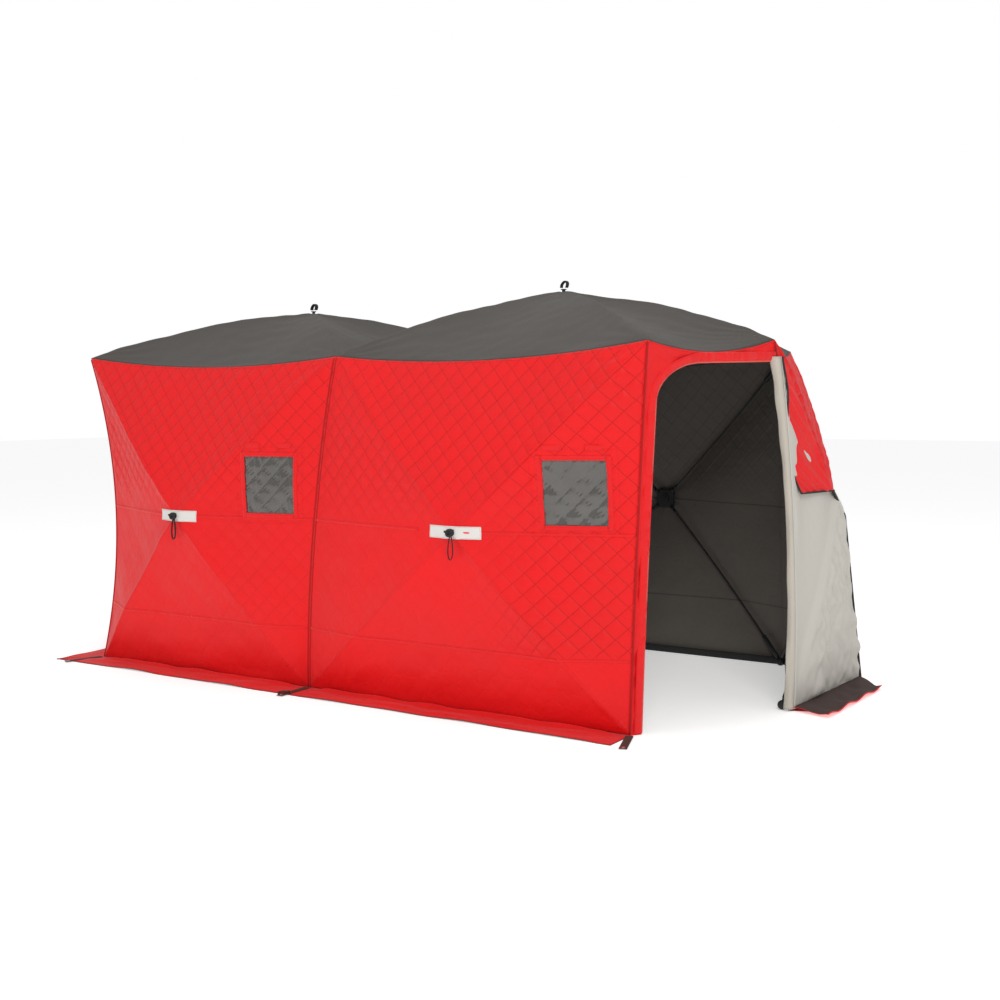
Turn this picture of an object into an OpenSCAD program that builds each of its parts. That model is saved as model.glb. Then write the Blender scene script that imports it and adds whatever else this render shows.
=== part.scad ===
/* [Cabin] */
// Length of one bay along the long walls
bay_length = 1790; // [1490:10:2150]
// Depth from the front wall to the back wall
cabin_depth = 1880; // [1560:10:2260]
// Height of the four outer roof corners
eave_height = 1788; // [1480:1:1860]
// Height of the left roof peak
peak_height = 2066; // [2000:1:2475]
// How much higher the right roof peak stands
right_peak_rise = 46; // [0:1:80]
// How far the fabric between the two bays hangs below the outer corners
middle_drop = 32; // [0:1:60]
// Sag of the fabric edge under the roof, between two corners
eave_sag = 55; // [0:5:80]

/* [Wall hubs] */
// How far each wall hub pushes its wall outwards
hub_bulge = 250; // [205:5:300]
// How far the hub of the narrow wall behind the entrance pushes outwards
prow_bulge = 290; // [240:5:330]
// Height of the wall hubs above the ground
hub_height = 912; // [760:1:1070]
// How far the pole tension draws each free corner edge inwards
corner_pull = 75; // [0:5:90]
// How far the seam between the bays bows outwards
middle_push = 60; // [0:5:75]
// How far the poles bow the wall seams outwards
wall_bow = 35; // [0:5:50]
// How far the poles bow the roof seams upwards
roof_bow = 45; // [0:5:55]

/* [Entrance] */
// How far the entrance post stands out from the right wall line
post_reach = 400; // [330:5:480]
// Distance from the front wall to the entrance post
post_set = 836; // [690:1:1010]
// How far the post's top leans back towards the cabin
post_lean = 95; // [0:5:115]
// How much higher the post's top stands than the other corners
post_rise = 22; // [0:1:40]
// Height of the fabric band over the doorway, at its two ends
header_band = 100; // [80:5:130]
// Width of the fabric band beside the doorway
door_band = 64; // [50:2:120]
// Width of the rounded upper corner of the doorway
door_round_w = 300; // [200:10:360]
// Height of the rounded upper corner of the doorway
door_round_h = 180; // [120:10:220]
// Length of the opened door flap along the ground
flap_length = 872; // [730:2:1050]
// How far the opened flap stands out from the post's line
flap_swing = 56; // [45:1:120]
// Height of the flap's free edge below its folded corner
flap_free_h = 1045; // [900:5:1100]
// Length of the folded corner's upper edge
fold_edge = 672; // [600:4:800]

/* [Fabric] */
// Thickness of the quilted wall fabric
wall_t = 8; // [4:1:12]
// Thickness of the roof fabric
roof_t = 3; // [1:0.5:6]
// Width of the skirt that lies on the ground
skirt_w = 200; // [160:5:240]
// Thickness of the skirt
skirt_t = 4; // [2:1:6]
// Thickness of the clear window sheet
pane_t = 1; // [0.5:0.1:2]
// Width of each window
window_w = 296; // [240:2:350]
// Height of each window
window_h = 310; // [250:5:370]

/* [Frame] */
// Diameter of the flexible poles
pole_d = 11; // [8:0.5:14]
// Diameter of the sleeve on each pole's end
sleeve_d = 24; // [18:0.5:28]
// Length of the sleeve on each pole's end
sleeve_l = 160; // [100:5:200]
// Radius of the rubber cap where poles meet in a corner
cap_r = 24; // [20:1:30]
// Width of the square hub body inside the fabric
hub_w = 112; // [90:2:130]
// Thickness of the hub body
hub_t = 22; // [18:1:34]
// Radius of the outer hub washer
washer_r = 26; // [20:1:32]
// Radius of the hub's stem through the fabric
stem_r = 9; // [6:0.5:11]
// Length of the reflective patch at each wall hub
patch_l = 280; // [200:10:340]
// Height of the reflective patch
patch_h = 60; // [54:2:80]
// Length of the webbing pull tab
pull_l = 120; // [80:5:160]
// Width of all webbing
webbing_w = 25; // [20:1:30]
// Radius of each stake grommet's hole
grommet_r = 6; // [5:0.5:8]

/* [Hidden] */

// Clearance between neighbouring pieces that only rest on each other
gap = 0.3;
// Half of the sewn seam between two gores
seam = 0.00015;
// Grid of each gore: steps along its edge and from hub to edge
edge_steps = 6;
hub_steps = 4;
// Share of the way from hub to edge where the fabric starts
hub_hole = 0.03;
// Smallest count of segments on a round piece
$fn = 48;
patch_t = 2;
patch_stand = 3.4;
webbing_t = 3;
tab_l = 220;
washer_t = 6;

function lerp(a, b, t) = a + (b - a) * t;
function bump(t) = 4 * t * (1 - t);
function unit(v) = v / norm(v);
function flat(v) = unit([v[0], v[1], 0]);
function spread(list) = [for (row = list) for (p = row) p];

// The skirt starts clear of the wall, which leans out over it
skirt_start = 2.2;
// The opened flap's way along the ground, its outward way and its clearance
flap_way = unit([flap_swing, flap_length, 0]);
flap_out = [flap_way[1], -flap_way[0], 0];
flap_stand = wall_t + 4.3;
// Share of the skirt's width at the flap skirt's far end, and how far that end is cut back
flap_skirt_end = 0.92;
flap_skirt_cut = 170;

// How far the tops of the left corners lean outwards from their feet
left_lean = 39;
left_splay = left_lean;
// How far the top of the seam between the bays stands right of an even split
middle_offset = 46;
// How far the front right corner's foot and top stand off the right wall line
right_foot_shift = -47;
right_top_shift = 37;

// ---- Places of the corners -------------------------------------------------
// The model's origin is on the ground, in the middle of its overall box.
hub_stack = patch_stand + patch_t + washer_t + 3 * gap + webbing_t;
left_reach = left_splay + hub_bulge + hub_stack;
right_reach = post_reach + flap_swing + flap_out[0] * (flap_stand + skirt_start + flap_skirt_end * skirt_w)
    - flap_way[0] * flap_skirt_cut;
x_right = (2 * bay_length + left_reach - right_reach) / 2;
x_middle = x_right - bay_length + middle_offset;
x_left = x_right - 2 * bay_length;
y_front = -cabin_depth / 2;
y_back = cabin_depth / 2;
eave_low = eave_height - middle_drop;
// The foot of the seam between the bays is drawn this far to the left
middle_foot_shift = 216;

// A corner edge runs from its foot to its top; tension bends it sideways.
// Each is [foot, top, bend].
front_left = [[x_left, y_front, 0], [x_left - left_lean, y_front, eave_height], [corner_pull, corner_pull, 0]];
front_middle = [[x_middle - middle_foot_shift, y_front, 0], [x_middle, y_front, eave_low],
    [0, -middle_push, 0]];
front_right = [[x_right + right_foot_shift, y_front, 0], [x_right + right_top_shift, y_front, eave_height],
    [-30, 47, 0]];
back_left = [[x_left, y_back, 0], [x_left - left_lean, y_back, eave_height], [corner_pull, -corner_pull, 0]];
back_middle = [[x_middle - middle_foot_shift, y_back, 0], [x_middle, y_back, eave_low],
    [0, middle_push, 0]];
back_right = [[x_right, y_back, 0], [x_right, y_back, eave_height], [-25, -45, 0]];
post = [[x_right + post_reach, y_front + post_set, 0],
    [x_right + post_reach - post_lean, y_front + post_set, eave_height + post_rise], [30, 15, 0]];

function along(edge, t) = lerp(edge[0], edge[1], t) + bump(t) * edge[2];
function eave(a, b, t) = lerp(a[1], b[1], t) - [0, 0, eave_sag * bump(t)];
function ground(a, b, t) = lerp(a[0], b[0], t);

// Unit vectors that point into the cabin, square to each wall
in_front = [0, 1, 0];
in_back = [0, -1, 0];
in_left = [1, 0, 0];
function inward(a, b) = let (d = flat(b[0] - a[0])) [-d[1], d[0], 0];
in_door = inward(front_right, post);
in_prow = inward(post, back_right);
in_roof = [0, 0, -1];
// Where two sheets meet, this vector keeps both at their thickness
function mitre(a, b) = (a + b) / (1 + a * b);

// ---- Sheets and tubes ------------------------------------------------------
// A closed solid between an outer and an inner grid of points
module sheet(outer, inner) {
    rows = len(outer);
    cols = len(outer[0]);
    total = rows * cols;
    way = cross(outer[1][0] - outer[0][0], outer[0][1] - outer[0][0])
        + cross(outer[rows - 1][cols - 1] - outer[rows - 2][cols - 1],
            outer[rows - 1][cols - 1] - outer[rows - 1][cols - 2]);
    turned = way * (outer[0][0] - inner[0][0]) > 0;
    faces = concat(
        [for (i = [0 : rows - 2]) for (j = [0 : cols - 2]) for (f =
            let (a = i * cols + j, b = a + cols) [[a, b, b + 1], [a, b + 1, a + 1]]) f],
        [for (i = [0 : rows - 2]) for (j = [0 : cols - 2]) for (f =
            let (a = total + i * cols + j, b = a + cols) [[a, b + 1, b], [a, a + 1, b + 1]]) f],
        [for (i = [0 : rows - 2]) for (f = let (a = i * cols, b = a + cols)
            [[a, a + total, b + total], [a, b + total, b]]) f],
        [for (i = [0 : rows - 2]) for (f = let (a = i * cols + cols - 1, b = a + cols)
            [[a, b + total, a + total], [a, b, b + total]]) f],
        [for (j = [0 : cols - 2]) for (f = let (a = j) [[a, a + 1 + total, a + total], [a, a + 1, a + 1 + total]]) f],
        [for (j = [0 : cols - 2]) for (f = let (a = (rows - 1) * cols + j)
            [[a, a + total, a + 1 + total], [a, a + 1 + total, a + 1]]) f]
    );
    polyhedron(concat(spread(outer), spread(inner)),
        turned ? [for (f = faces) [f[2], f[1], f[0]]] : faces);
}

// A tube along a path, with its own radius at each point
module tube(path, radii, sides = 8) {
    n = len(path);
    function side(k) = unit(cross(path[min(k + 1, n - 1)] - path[max(k - 1, 0)], [0.31, 0.17, 0.93]));
    function up(k) = unit(cross(side(k), path[min(k + 1, n - 1)] - path[max(k - 1, 0)]));
    points = [for (k = [0 : n - 1]) for (j = [0 : sides - 1]) let (a = 360 * j / sides)
        path[k] + radii[k] * (cos(a) * side(k) + sin(a) * up(k))];
    walls = [for (k = [0 : n - 2]) for (j = [0 : sides - 1]) for (f =
        let (a = k * sides + j, b = k * sides + (j + 1) % sides)
        [[a, b, b + sides], [a, b + sides, a + sides]]) f];
    polyhedron(points, concat(walls, [[for (j = [sides - 1 : -1 : 0]) j]],
        [[for (j = [0 : sides - 1]) (n - 1) * sides + j]]));
}

// ---- Gores -----------------------------------------------------------------
// A gore is one triangle of fabric between a hub and an edge curve.
// Poles along its sides bow it outwards, and less so in its middle.
function gore_point(hub, edge_point, out, bow, t, v) =
    lerp(hub, edge_point, v) + out * bow * bump(v) * (0.35 + 0.65 * pow(2 * t - 1, 2));
function gore_step(i, n) = i == 0 ? seam : i == n ? 1 - seam : i / n;
function gore_v(j) = lerp(hub_hole, 1, j / hub_steps);

// curve(t) gives the edge; inset is the thickness vector inside the gore,
// rim the one at its edge, and rim_a and rim_b those at the edge's two ends
module gore(hub, curve, out, bow, inset, rim, rim_a, rim_b) {
    outer = [for (i = [0 : edge_steps]) let (t = gore_step(i, edge_steps))
        [for (j = [0 : hub_steps]) gore_point(hub, curve(t), out, bow, t, gore_v(j))]];
    inner = [for (i = [0 : edge_steps]) [for (j = [0 : hub_steps])
        outer[i][j] + (j < hub_steps ? inset : i == 0 ? rim_a : i == edge_steps ? rim_b : rim)]];
    sheet(outer, inner);
}

function bulge(into) = into == in_prow ? prow_bulge : hub_bulge;
function wall_hub(a, b, into) = let (m = (a[1] + b[1]) / 2) [m[0], m[1], hub_height] - into * bulge(into);
// Thickness vectors of a wall at its sides, its top and its top corners
function side_rim(into, beside) = mitre(into, beside) * wall_t;
function top_rim(v) = v + in_roof * roof_t;

// Four gores from corner edge a to corner edge b; into points inside,
// and into_a and into_b belong to the neighbours beyond a and b
module wall(a, b, into, into_a, into_b) {
    hub = wall_hub(a, b, into);
    inset = into * wall_t;
    rim_a = side_rim(into, into_a);
    rim_b = side_rim(into, into_b);
    gore(hub, function(t) eave(a, b, t), -into, wall_bow, inset, top_rim(inset), top_rim(rim_a),
        top_rim(rim_b));
    gore(hub, function(t) ground(a, b, t), -into, wall_bow, inset, inset, rim_a, rim_b);
    gore(hub, function(t) along(a, t), -into, wall_bow, inset, rim_a, rim_a, top_rim(rim_a));
    gore(hub, function(t) along(b, t), -into, wall_bow, inset, rim_b, rim_b, top_rim(rim_b));
}

// ---- Windows ---------------------------------------------------------------
// The window stands in the gore beside edge b, at this share of the
// edge's height and of the way out from the hub
window_t = 0.67;
window_v = 0.67;
module window_prism(a, b, into, spare) {
    hub = wall_hub(a, b, into);
    middle = gore_point(hub, along(b, window_t), -into, wall_bow, window_t, window_v);
    turn = atan2(b[1][1] - hub[1], b[1][0] - hub[0]);
    translate(middle) rotate([0, 0, turn])
        cube([window_w - 2 * spare, 12 * wall_t, window_h - 2 * spare], center = true);
}
module wall_with_window(a, b, into, into_a, into_b) {
    difference() {
        wall(a, b, into, into_a, into_b);
        window_prism(a, b, into, 0);
    }
}
module window_pane(a, b, into) {
    hub = wall_hub(a, b, into);
    front = into * (wall_t - pane_t) / 2;
    back = into * pane_t;
    color([0.75, 0.77, 0.76, 0.5]) intersection() {
        translate(front)
            gore(hub, function(t) along(b, t), -into, wall_bow, back, back, back, back);
        window_prism(a, b, into, gap);
    }
}

// ---- Walls -----------------------------------------------------------------
fabric_red = [0.78, 0.06, 0.05];
roof_grey = [0.30, 0.28, 0.26];
black = [0.06, 0.06, 0.06];

module front_left_wall() color(fabric_red)
    wall_with_window(front_left, front_middle, in_front, in_left, in_front);
module front_right_wall() color(fabric_red)
    wall_with_window(front_middle, front_right, in_front, in_front, in_door);
module back_right_wall() color(fabric_red)
    wall_with_window(back_right, back_middle, in_back, in_prow, in_back);
module back_left_wall() color(fabric_red)
    wall_with_window(back_middle, back_left, in_back, in_back, in_left);
module left_end_wall() color(fabric_red)
    wall(back_left, front_left, in_left, in_back, in_front);
module prow_wall() color(fabric_red)
    wall(post, back_right, in_prow, in_door, in_back);
module front_left_window() window_pane(front_left, front_middle, in_front);
module front_right_window() window_pane(front_middle, front_right, in_front);
module back_right_window() window_pane(back_right, back_middle, in_back);
module back_left_window() window_pane(back_middle, back_left, in_back);

// ---- Roofs -----------------------------------------------------------------
left_peak = [(x_left + x_middle - middle_offset) / 2 - 14, 0, peak_height];
right_peak = [(x_right + x_middle - middle_offset) / 2 - 36, 0, peak_height + right_peak_rise];
roof_inset = in_roof * roof_t;
function roof_rim(wall_vector) = roof_inset + wall_vector;

// One roof gore over the eave from a to b; the last three are the wall's
// thickness vectors along the eave and at its two ends
module roof_gore(peak, a, b, rim, rim_a, rim_b)
    gore(peak, function(t) eave(a, b, t), -in_roof, roof_bow, roof_inset, roof_rim(rim),
        roof_rim(rim_a), roof_rim(rim_b));

module left_roof() color(roof_grey) {
    front = in_front * wall_t;
    back = in_back * wall_t;
    left = in_left * wall_t;
    roof_gore(left_peak, front_left, front_middle, front, side_rim(in_front, in_left), front);
    roof_gore(left_peak, back_middle, back_left, back, back, side_rim(in_back, in_left));
    roof_gore(left_peak, back_left, front_left, left, side_rim(in_back, in_left),
        side_rim(in_left, in_front));
    roof_gore(left_peak, front_middle, back_middle, [0, 0, 0], front, back);
}
module right_roof() color(roof_grey) {
    front = in_front * wall_t;
    back = in_back * wall_t;
    roof_gore(right_peak, front_middle, front_right, front, front, side_rim(in_front, in_door));
    roof_gore(right_peak, front_right, post, in_door * wall_t, side_rim(in_front, in_door),
        side_rim(in_door, in_prow));
    roof_gore(right_peak, post, back_right, in_prow * wall_t, side_rim(in_door, in_prow),
        side_rim(in_prow, in_back));
    roof_gore(right_peak, back_right, back_middle, back, side_rim(in_prow, in_back), back);
    roof_gore(right_peak, back_middle, front_middle, [0, 0, 0], back, front);
}

// ---- Doorway ---------------------------------------------------------------
// A band runs up beside the doorway, round its corner and over it to the post.
round_steps = 6;
door_way = flat(post[0] - front_right[0]);
door_width = norm(post[1] - front_right[1]);
round_foot = (eave_height - header_band - door_round_h) / eave_height;
round_end = (door_band + door_round_w) / door_width;
// Walls and roofs are straight between the steps of their edges, and the
// band keeps to those same chords
function chord(f, t) = let (k = min(floor(t * edge_steps), edge_steps - 1))
    lerp(f(k / edge_steps), f((k + 1) / edge_steps), t * edge_steps - k);
module door_surround() {
    side = function(t) chord(function(x) along(front_right, x), t);
    over = function(t) chord(function(x) eave(front_right, post, x), t);
    jamb = function(t) side(t) + door_way * door_band;
    head = function(t) lerp(front_right[1], post[1], t) - [0, 0, header_band];
    from = jamb(round_foot);
    to = head(round_end);
    rounded = function(k) [lerp(from[0], to[0], 1 - cos(90 * k)), lerp(from[1], to[1], 1 - cos(90 * k)),
        lerp(from[2], to[2], sin(90 * k))];
    up_steps = [for (k = [0 : edge_steps - 1]) k / edge_steps];
    over_steps = [for (k = [0.5 : 0.5 : 2]) k / edge_steps];
    head_steps = [for (k = [3 : edge_steps]) k / edge_steps];
    outside = concat([for (t = up_steps) side(t)], [side(round_foot), side((1 + round_foot) / 2), side(1)],
        [for (t = over_steps) over(t)], [for (t = head_steps) over(t)]);
    inside = concat([for (t = up_steps) jamb(t)], [for (k = [0 : round_steps]) rounded(k / round_steps)],
        [for (t = head_steps) head(t)]);
    last = len(outside) - 1;
    knee = len(up_steps) + 2;
    function rim(k) = k < knee ? side_rim(in_front, in_door)
        : k == knee ? top_rim(side_rim(in_front, in_door))
        : k == last ? top_rim(side_rim(in_door, in_prow)) : top_rim(in_door * wall_t);
    function inner_rim(k) = k == last ? side_rim(in_door, in_prow) : in_door * wall_t;
    color(fabric_red) sheet([for (k = [0 : last]) [outside[k], inside[k]]],
        [for (k = [0 : last]) [outside[k] + rim(k), inside[k] + inner_rim(k)]]);
}

// The opened flap hangs from the post and lies over the wall behind it.
flap_lift = 12;
flap_steps = 8;
flap_bulge = 32;
flap_hinge_top = 0.955;
function flap_hinge(v) = along(post, lerp(flap_lift / eave_height, flap_hinge_top, v)) + flap_out * flap_stand;
flap_free_foot = post[0] + [flap_swing, flap_length, flap_lift] + flap_out * flap_stand;
flap_free_top = post[0] + [flap_swing * 0.81, flap_length * 0.52, flap_lift + flap_free_h];
// Its free edge bends where it lies over the wall's hub
flap_knee = wall_hub(post, back_right, in_prow) - in_prow * (hub_stack + wall_t + 1);
knee_at = (flap_knee[2] - flap_lift) / flap_free_h;
function flap_free(v) = v < knee_at ? lerp(flap_free_foot, flap_knee, v / knee_at)
    : lerp(flap_knee, flap_free_top, (v - knee_at) / (1 - knee_at));
function flap_point(u, v) = lerp(flap_hinge(v), flap_free(v), u) + bump(u) * bump(v) * flap_out * flap_bulge;
module door_flap() {
    outer = [for (i = [0 : flap_steps]) [for (j = [0 : flap_steps]) flap_point(i / flap_steps, j / flap_steps)]];
    color([0.72, 0.70, 0.66]) sheet(outer, [for (row = outer) [for (p = row) p - flap_out * wall_t]]);
}
// The flap's upper corner is folded down over its lining.
fold_stand = 10;
module door_flap_corner() {
    tip = flap_hinge(1) + unit([20, 85, -640]) * fold_edge + flap_out * 30;
    outer = [for (i = [0 : flap_steps]) let (t = i / flap_steps) [for (j = [0 : 3])
        lerp(flap_point(t, 1), lerp(flap_hinge(1), tip, t), j / 3) + flap_out * (fold_stand + 26 * bump(j / 6))
            + [0, 0, -4]]];
    start = [for (row = outer) row];
    color(fabric_red) sheet(start, [for (row = start) [for (p = row) p - flap_out * (fold_stand - 2 * gap)]]);
}

// ---- Skirts ----------------------------------------------------------------
// A flat band along the foot of the wall from a to b. The shifts move its
// outer ends along the wall, so that neighbours meet at the corners.
module skirt(a, b, into, shift_a, shift_b) {
    way = flat(b[0] - a[0]);
    near = -into * skirt_start;
    far = -into * skirt_w;
    near_a = a[0] + near + way * shift_a * skirt_start / skirt_w;
    near_b = b[0] + near + way * shift_b * skirt_start / skirt_w;
    far_a = a[0] + far + way * shift_a;
    far_b = b[0] + far + way * shift_b;
    color([0.70, 0.12, 0.10]) linear_extrude(skirt_t)
        polygon([for (p = [near_a, near_b, far_b, far_a]) [p[0], p[1]]]);
}
half_seam = 0.25;
module front_left_skirt() skirt(front_left, front_middle, in_front, -skirt_w + 1, -half_seam);
module front_right_skirt() skirt(front_middle, front_right, in_front, half_seam, 0);
module back_right_skirt() skirt(back_right, back_middle, in_back, 0, -half_seam);
module back_left_skirt() skirt(back_middle, back_left, in_back, half_seam, skirt_w - 1);
module left_end_skirt() skirt(back_left, front_left, in_left, -skirt_w + 1, skirt_w - 1);
module prow_skirt() skirt(post, back_right, in_prow, 0, -30);
// The flap's own skirt lies on the ground in front of it
module flap_skirt() {
    near = flap_out * (flap_stand + skirt_start);
    foot = post[0] + near;
    end = foot + [flap_swing, flap_length, 0];
    out = flap_out * skirt_w;
    color([0.24, 0.16, 0.13]) translate([0, 0, skirt_t + gap]) linear_extrude(skirt_t) polygon([for (q =
        [foot, end, end + out * flap_skirt_end - flap_way * flap_skirt_cut, foot + out - flap_way * 45])
        [q[0], q[1]]]);
}

// ---- Hubs and poles --------------------------------------------------------
// The hub body lies inside the fabric; its stem passes out to a washer.
// It stays clear of the fabric, which slopes away from it on all sides.
function wall_slope(a, b, into) = bulge(into)
    / min(norm(b[1] - a[1]) / 2, hub_height, eave_height - eave_sag - hub_height);
function hub_set(a, b, into) = 1.06 * wall_t + hub_w / 2 * wall_slope(a, b, into);
roof_slope = (peak_height + right_peak_rise - eave_low + eave_sag) / (bay_length / 2);
roof_hub_set = 1.1 * roof_t + hub_w / 2 * roof_slope;
module hub_spool(fabric_set) {
    body_at = -fabric_set - hub_t;
    out_at = patch_stand + gap + patch_t;
    translate([-hub_w / 2, -hub_w / 2, body_at]) cube([hub_w, hub_w, hub_t]);
    translate([0, 0, body_at + hub_t - gap]) cylinder(r = stem_r, h = fabric_set + out_at + 2 * gap);
    translate([0, 0, out_at + gap]) cylinder(r = washer_r, h = washer_t);
}
// Turns +Z to the wall's outward way
module face_out(at, into) translate(at) rotate([0, 0, atan2(-into[1], -into[0])]) rotate([0, 90, 0]) children();
module wall_hub_piece(a, b, into) color(black) face_out(wall_hub(a, b, into), into)
    hub_spool(hub_set(a, b, into));
module roof_hub_piece(peak) color(black) translate(peak) hub_spool(roof_hub_set);

cap_set = cap_r + wall_t + 4;
function top_cap(edge, inside) = along(edge, 1 - (cap_r + 16) / edge[1][2]) + inside * cap_set;
function foot_cap(edge, inside) = along(edge, (cap_r + gap) / edge[1][2]) + inside * cap_set;
function hub_centre(a, b, into) = wall_hub(a, b, into)
    + into * (hub_set(a, b, into) + hub_t / 2);

pole_steps = 7;
// A slim pole whose far end is a thicker sleeve
module pole(from, to, out, bow) {
    way = unit(to - from);
    // A pole meets its square hub at a slant, so its end stands off by that much more
    slant = 1.2 + 4 * bow / norm(to - from);
    across = abs(out[2]) > 0.5 ? [1, 0, 0] : [-out[1], out[0], 0];
    side = max(abs(way * across), abs(way * cross(out, across)));
    start = from + way * (hub_w / 2 / side + gap + slant * pole_d / 2);
    end = to - way * (cap_r + gap);
    sleeve = 1 - sleeve_l / norm(end - start);
    stations = concat([for (k = [0 : pole_steps]) sleeve * k / pole_steps], [sleeve + 0.001, 1]);
    radii = concat([for (k = [0 : pole_steps]) pole_d / 2], [sleeve_d / 2, sleeve_d / 2]);
    color(black) tube([for (t = stations) lerp(start, end, t) + out * bow * bump(t)], radii);
}
// The inside way at each corner edge
function inside(a, b) = mitre(a, b);
at_front_left = inside(in_front, in_left);
at_front_right = inside(in_front, in_door);
at_back_left = inside(in_back, in_left);
at_back_right = inside(in_back, in_prow);
at_post = inside(in_door, in_prow);
module wall_poles(a, b, into, at_a, at_b) {
    hub = hub_centre(a, b, into);
    for (to = [top_cap(a, at_a), top_cap(b, at_b), foot_cap(a, at_a), foot_cap(b, at_b)])
        pole(hub, to, -into, wall_bow);
}
module roof_poles(peak, corners) {
    hub = peak - [0, 0, roof_hub_set + hub_t / 2];
    for (c = corners) pole(hub, top_cap(c[0], c[1]), [0, 0, 1], roof_bow);
}
corner_list = [[front_left, at_front_left], [front_middle, in_front], [front_right, at_front_right],
    [post, at_post], [back_right, at_back_right], [back_middle, in_back], [back_left, at_back_left]];
module top_corner_caps() color(black) for (c = corner_list) translate(top_cap(c[0], c[1])) sphere(cap_r);
module foot_corner_caps() color(black) for (c = corner_list) translate(foot_cap(c[0], c[1])) sphere(cap_r);

wall_list = [[front_left, front_middle, in_front], [front_middle, front_right, in_front],
    [back_right, back_middle, in_back], [back_middle, back_left, in_back],
    [back_left, front_left, in_left], [post, back_right, in_prow]];

// ---- Trim ------------------------------------------------------------------
// A strip bent over each wall's point, with a hole for the hub's stem
patch_steps = 4;
module hub_patches() color([0.84, 0.83, 0.80]) for (w = wall_list) {
    hub = wall_hub(w[0], w[1], w[2]);
    half = norm(w[1][1] - w[0][1]) / 2;
    on_wall = function(edge, x) let (t = hub_height / eave_height,
        p = gore_point(hub, along(edge, t), -w[2], wall_bow, t, x / half))
        [p[0], p[1], hub_height] - w[2] * (patch_stand + patch_t);
    steps = [for (k = [1 : patch_steps]) patch_l / 2 * k / patch_steps];
    middle = concat([for (k = [patch_steps - 1 : -1 : 0]) on_wall(w[0], steps[k])], [on_wall(w[0], 0)],
        [for (x = steps) on_wall(w[1], x)]);
    outer = [for (p = middle) [for (s = [-1, 1]) p + [0, 0, s * patch_h / 2]]];
    difference() {
        sheet(outer, [for (row = outer) [for (p = row) p + w[2] * patch_t]]);
        face_out(hub, w[2]) translate([0, 0, -hub_t]) cylinder(r = stem_r + gap, h = 2 * hub_t);
    }
}
// A doubled webbing tab hangs from each wall hub's washer
module pull_tabs() color(black) for (w = wall_list)
    face_out(wall_hub(w[0], w[1], w[2]) - w[2] * (hub_stack - webbing_t), w[2])
        translate([-webbing_w / 2, -webbing_w / 2, 0]) cube([pull_l, webbing_w, webbing_t]);
// An upright webbing loop stands on each roof hub
loop_r = 22;
module roof_loops() color(black) for (p = [left_peak, right_peak])
    translate(p + [0, 0, hub_stack + loop_r]) rotate([90, 0, 0])
        rotate_extrude() translate([loop_r, -webbing_w / 2]) square([webbing_t, webbing_w]);

// ---- Stake tabs ------------------------------------------------------------
tab_lift = skirt_t + gap;
stake_list = [[front_left, [-0.3, -1, 0]], [front_middle, [0, -1, 0]], [front_right, [0.35, -1, 0]],
    [back_right, [0.35, 1, 0]], [back_middle, [0, 1, 0]], [back_left, [-0.3, 1, 0]]];
eyelet_at = tab_l - 15;
module stake_tab_place(s) translate(s[0][0] + [0, 0, tab_lift]) rotate([0, 0, atan2(s[1][1], s[1][0])]) children();
module stake_tabs() color([0.30, 0.20, 0.15]) for (s = stake_list) stake_tab_place(s) difference() {
    translate([20, -webbing_w / 2 - 6, 0]) cube([tab_l, webbing_w + 12, webbing_t]);
    translate([20 + eyelet_at, 0, -1]) cylinder(r = grommet_r + 2, h = webbing_t + 2);
}
// Each grommet has a barrel through the tab and a flange over it
module stake_grommets() color("silver") for (s = stake_list) stake_tab_place(s) translate([20 + eyelet_at, 0, 0])
    difference() {
        union() {
            cylinder(r = grommet_r + 2 - gap, h = webbing_t + gap + 1);
            translate([0, 0, webbing_t + gap]) cylinder(r = grommet_r + 6, h = 1);
        }
        translate([0, 0, -1]) cylinder(r = grommet_r, h = webbing_t + 4);
    }

// ---- Hubs by name ----------------------------------------------------------
module front_left_hub() wall_hub_piece(front_left, front_middle, in_front);
module front_right_hub() wall_hub_piece(front_middle, front_right, in_front);
module back_left_hub() wall_hub_piece(back_middle, back_left, in_back);
module back_right_hub() wall_hub_piece(back_right, back_middle, in_back);
module left_end_hub() wall_hub_piece(back_left, front_left, in_left);
module prow_hub() wall_hub_piece(post, back_right, in_prow);
module left_roof_hub() roof_hub_piece(left_peak);
module right_roof_hub() roof_hub_piece(right_peak);
module front_left_poles() wall_poles(front_left, front_middle, in_front, at_front_left, in_front);
module front_right_poles() wall_poles(front_middle, front_right, in_front, in_front, at_front_right);
module back_left_poles() wall_poles(back_middle, back_left, in_back, in_back, at_back_left);
module back_right_poles() wall_poles(back_right, back_middle, in_back, at_back_right, in_back);
module left_end_poles() wall_poles(back_left, front_left, in_left, at_back_left, at_front_left);
module prow_poles() wall_poles(post, back_right, in_prow, at_post, at_back_right);
module left_roof_poles() roof_poles(left_peak, [corner_list[0], corner_list[1], corner_list[5], corner_list[6]]);
module right_roof_poles() roof_poles(right_peak, [for (k = [1 : 5]) corner_list[k]]);

front_left_wall();
front_right_wall();
back_left_wall();
back_right_wall();
left_end_wall();
prow_wall();
left_roof();
right_roof();
door_surround();
door_flap();
door_flap_corner();
front_left_window();
front_right_window();
back_left_window();
back_right_window();
front_left_skirt();
front_right_skirt();
back_left_skirt();
back_right_skirt();
left_end_skirt();
prow_skirt();
flap_skirt();
front_left_hub();
front_right_hub();
back_left_hub();
back_right_hub();
left_end_hub();
prow_hub();
left_roof_hub();
right_roof_hub();
front_left_poles();
front_right_poles();
back_left_poles();
back_right_poles();
left_end_poles();
prow_poles();
left_roof_poles();
right_roof_poles();
top_corner_caps();
foot_corner_caps();
hub_patches();
pull_tabs();
roof_loops();
stake_tabs();
stake_grommets();
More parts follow.
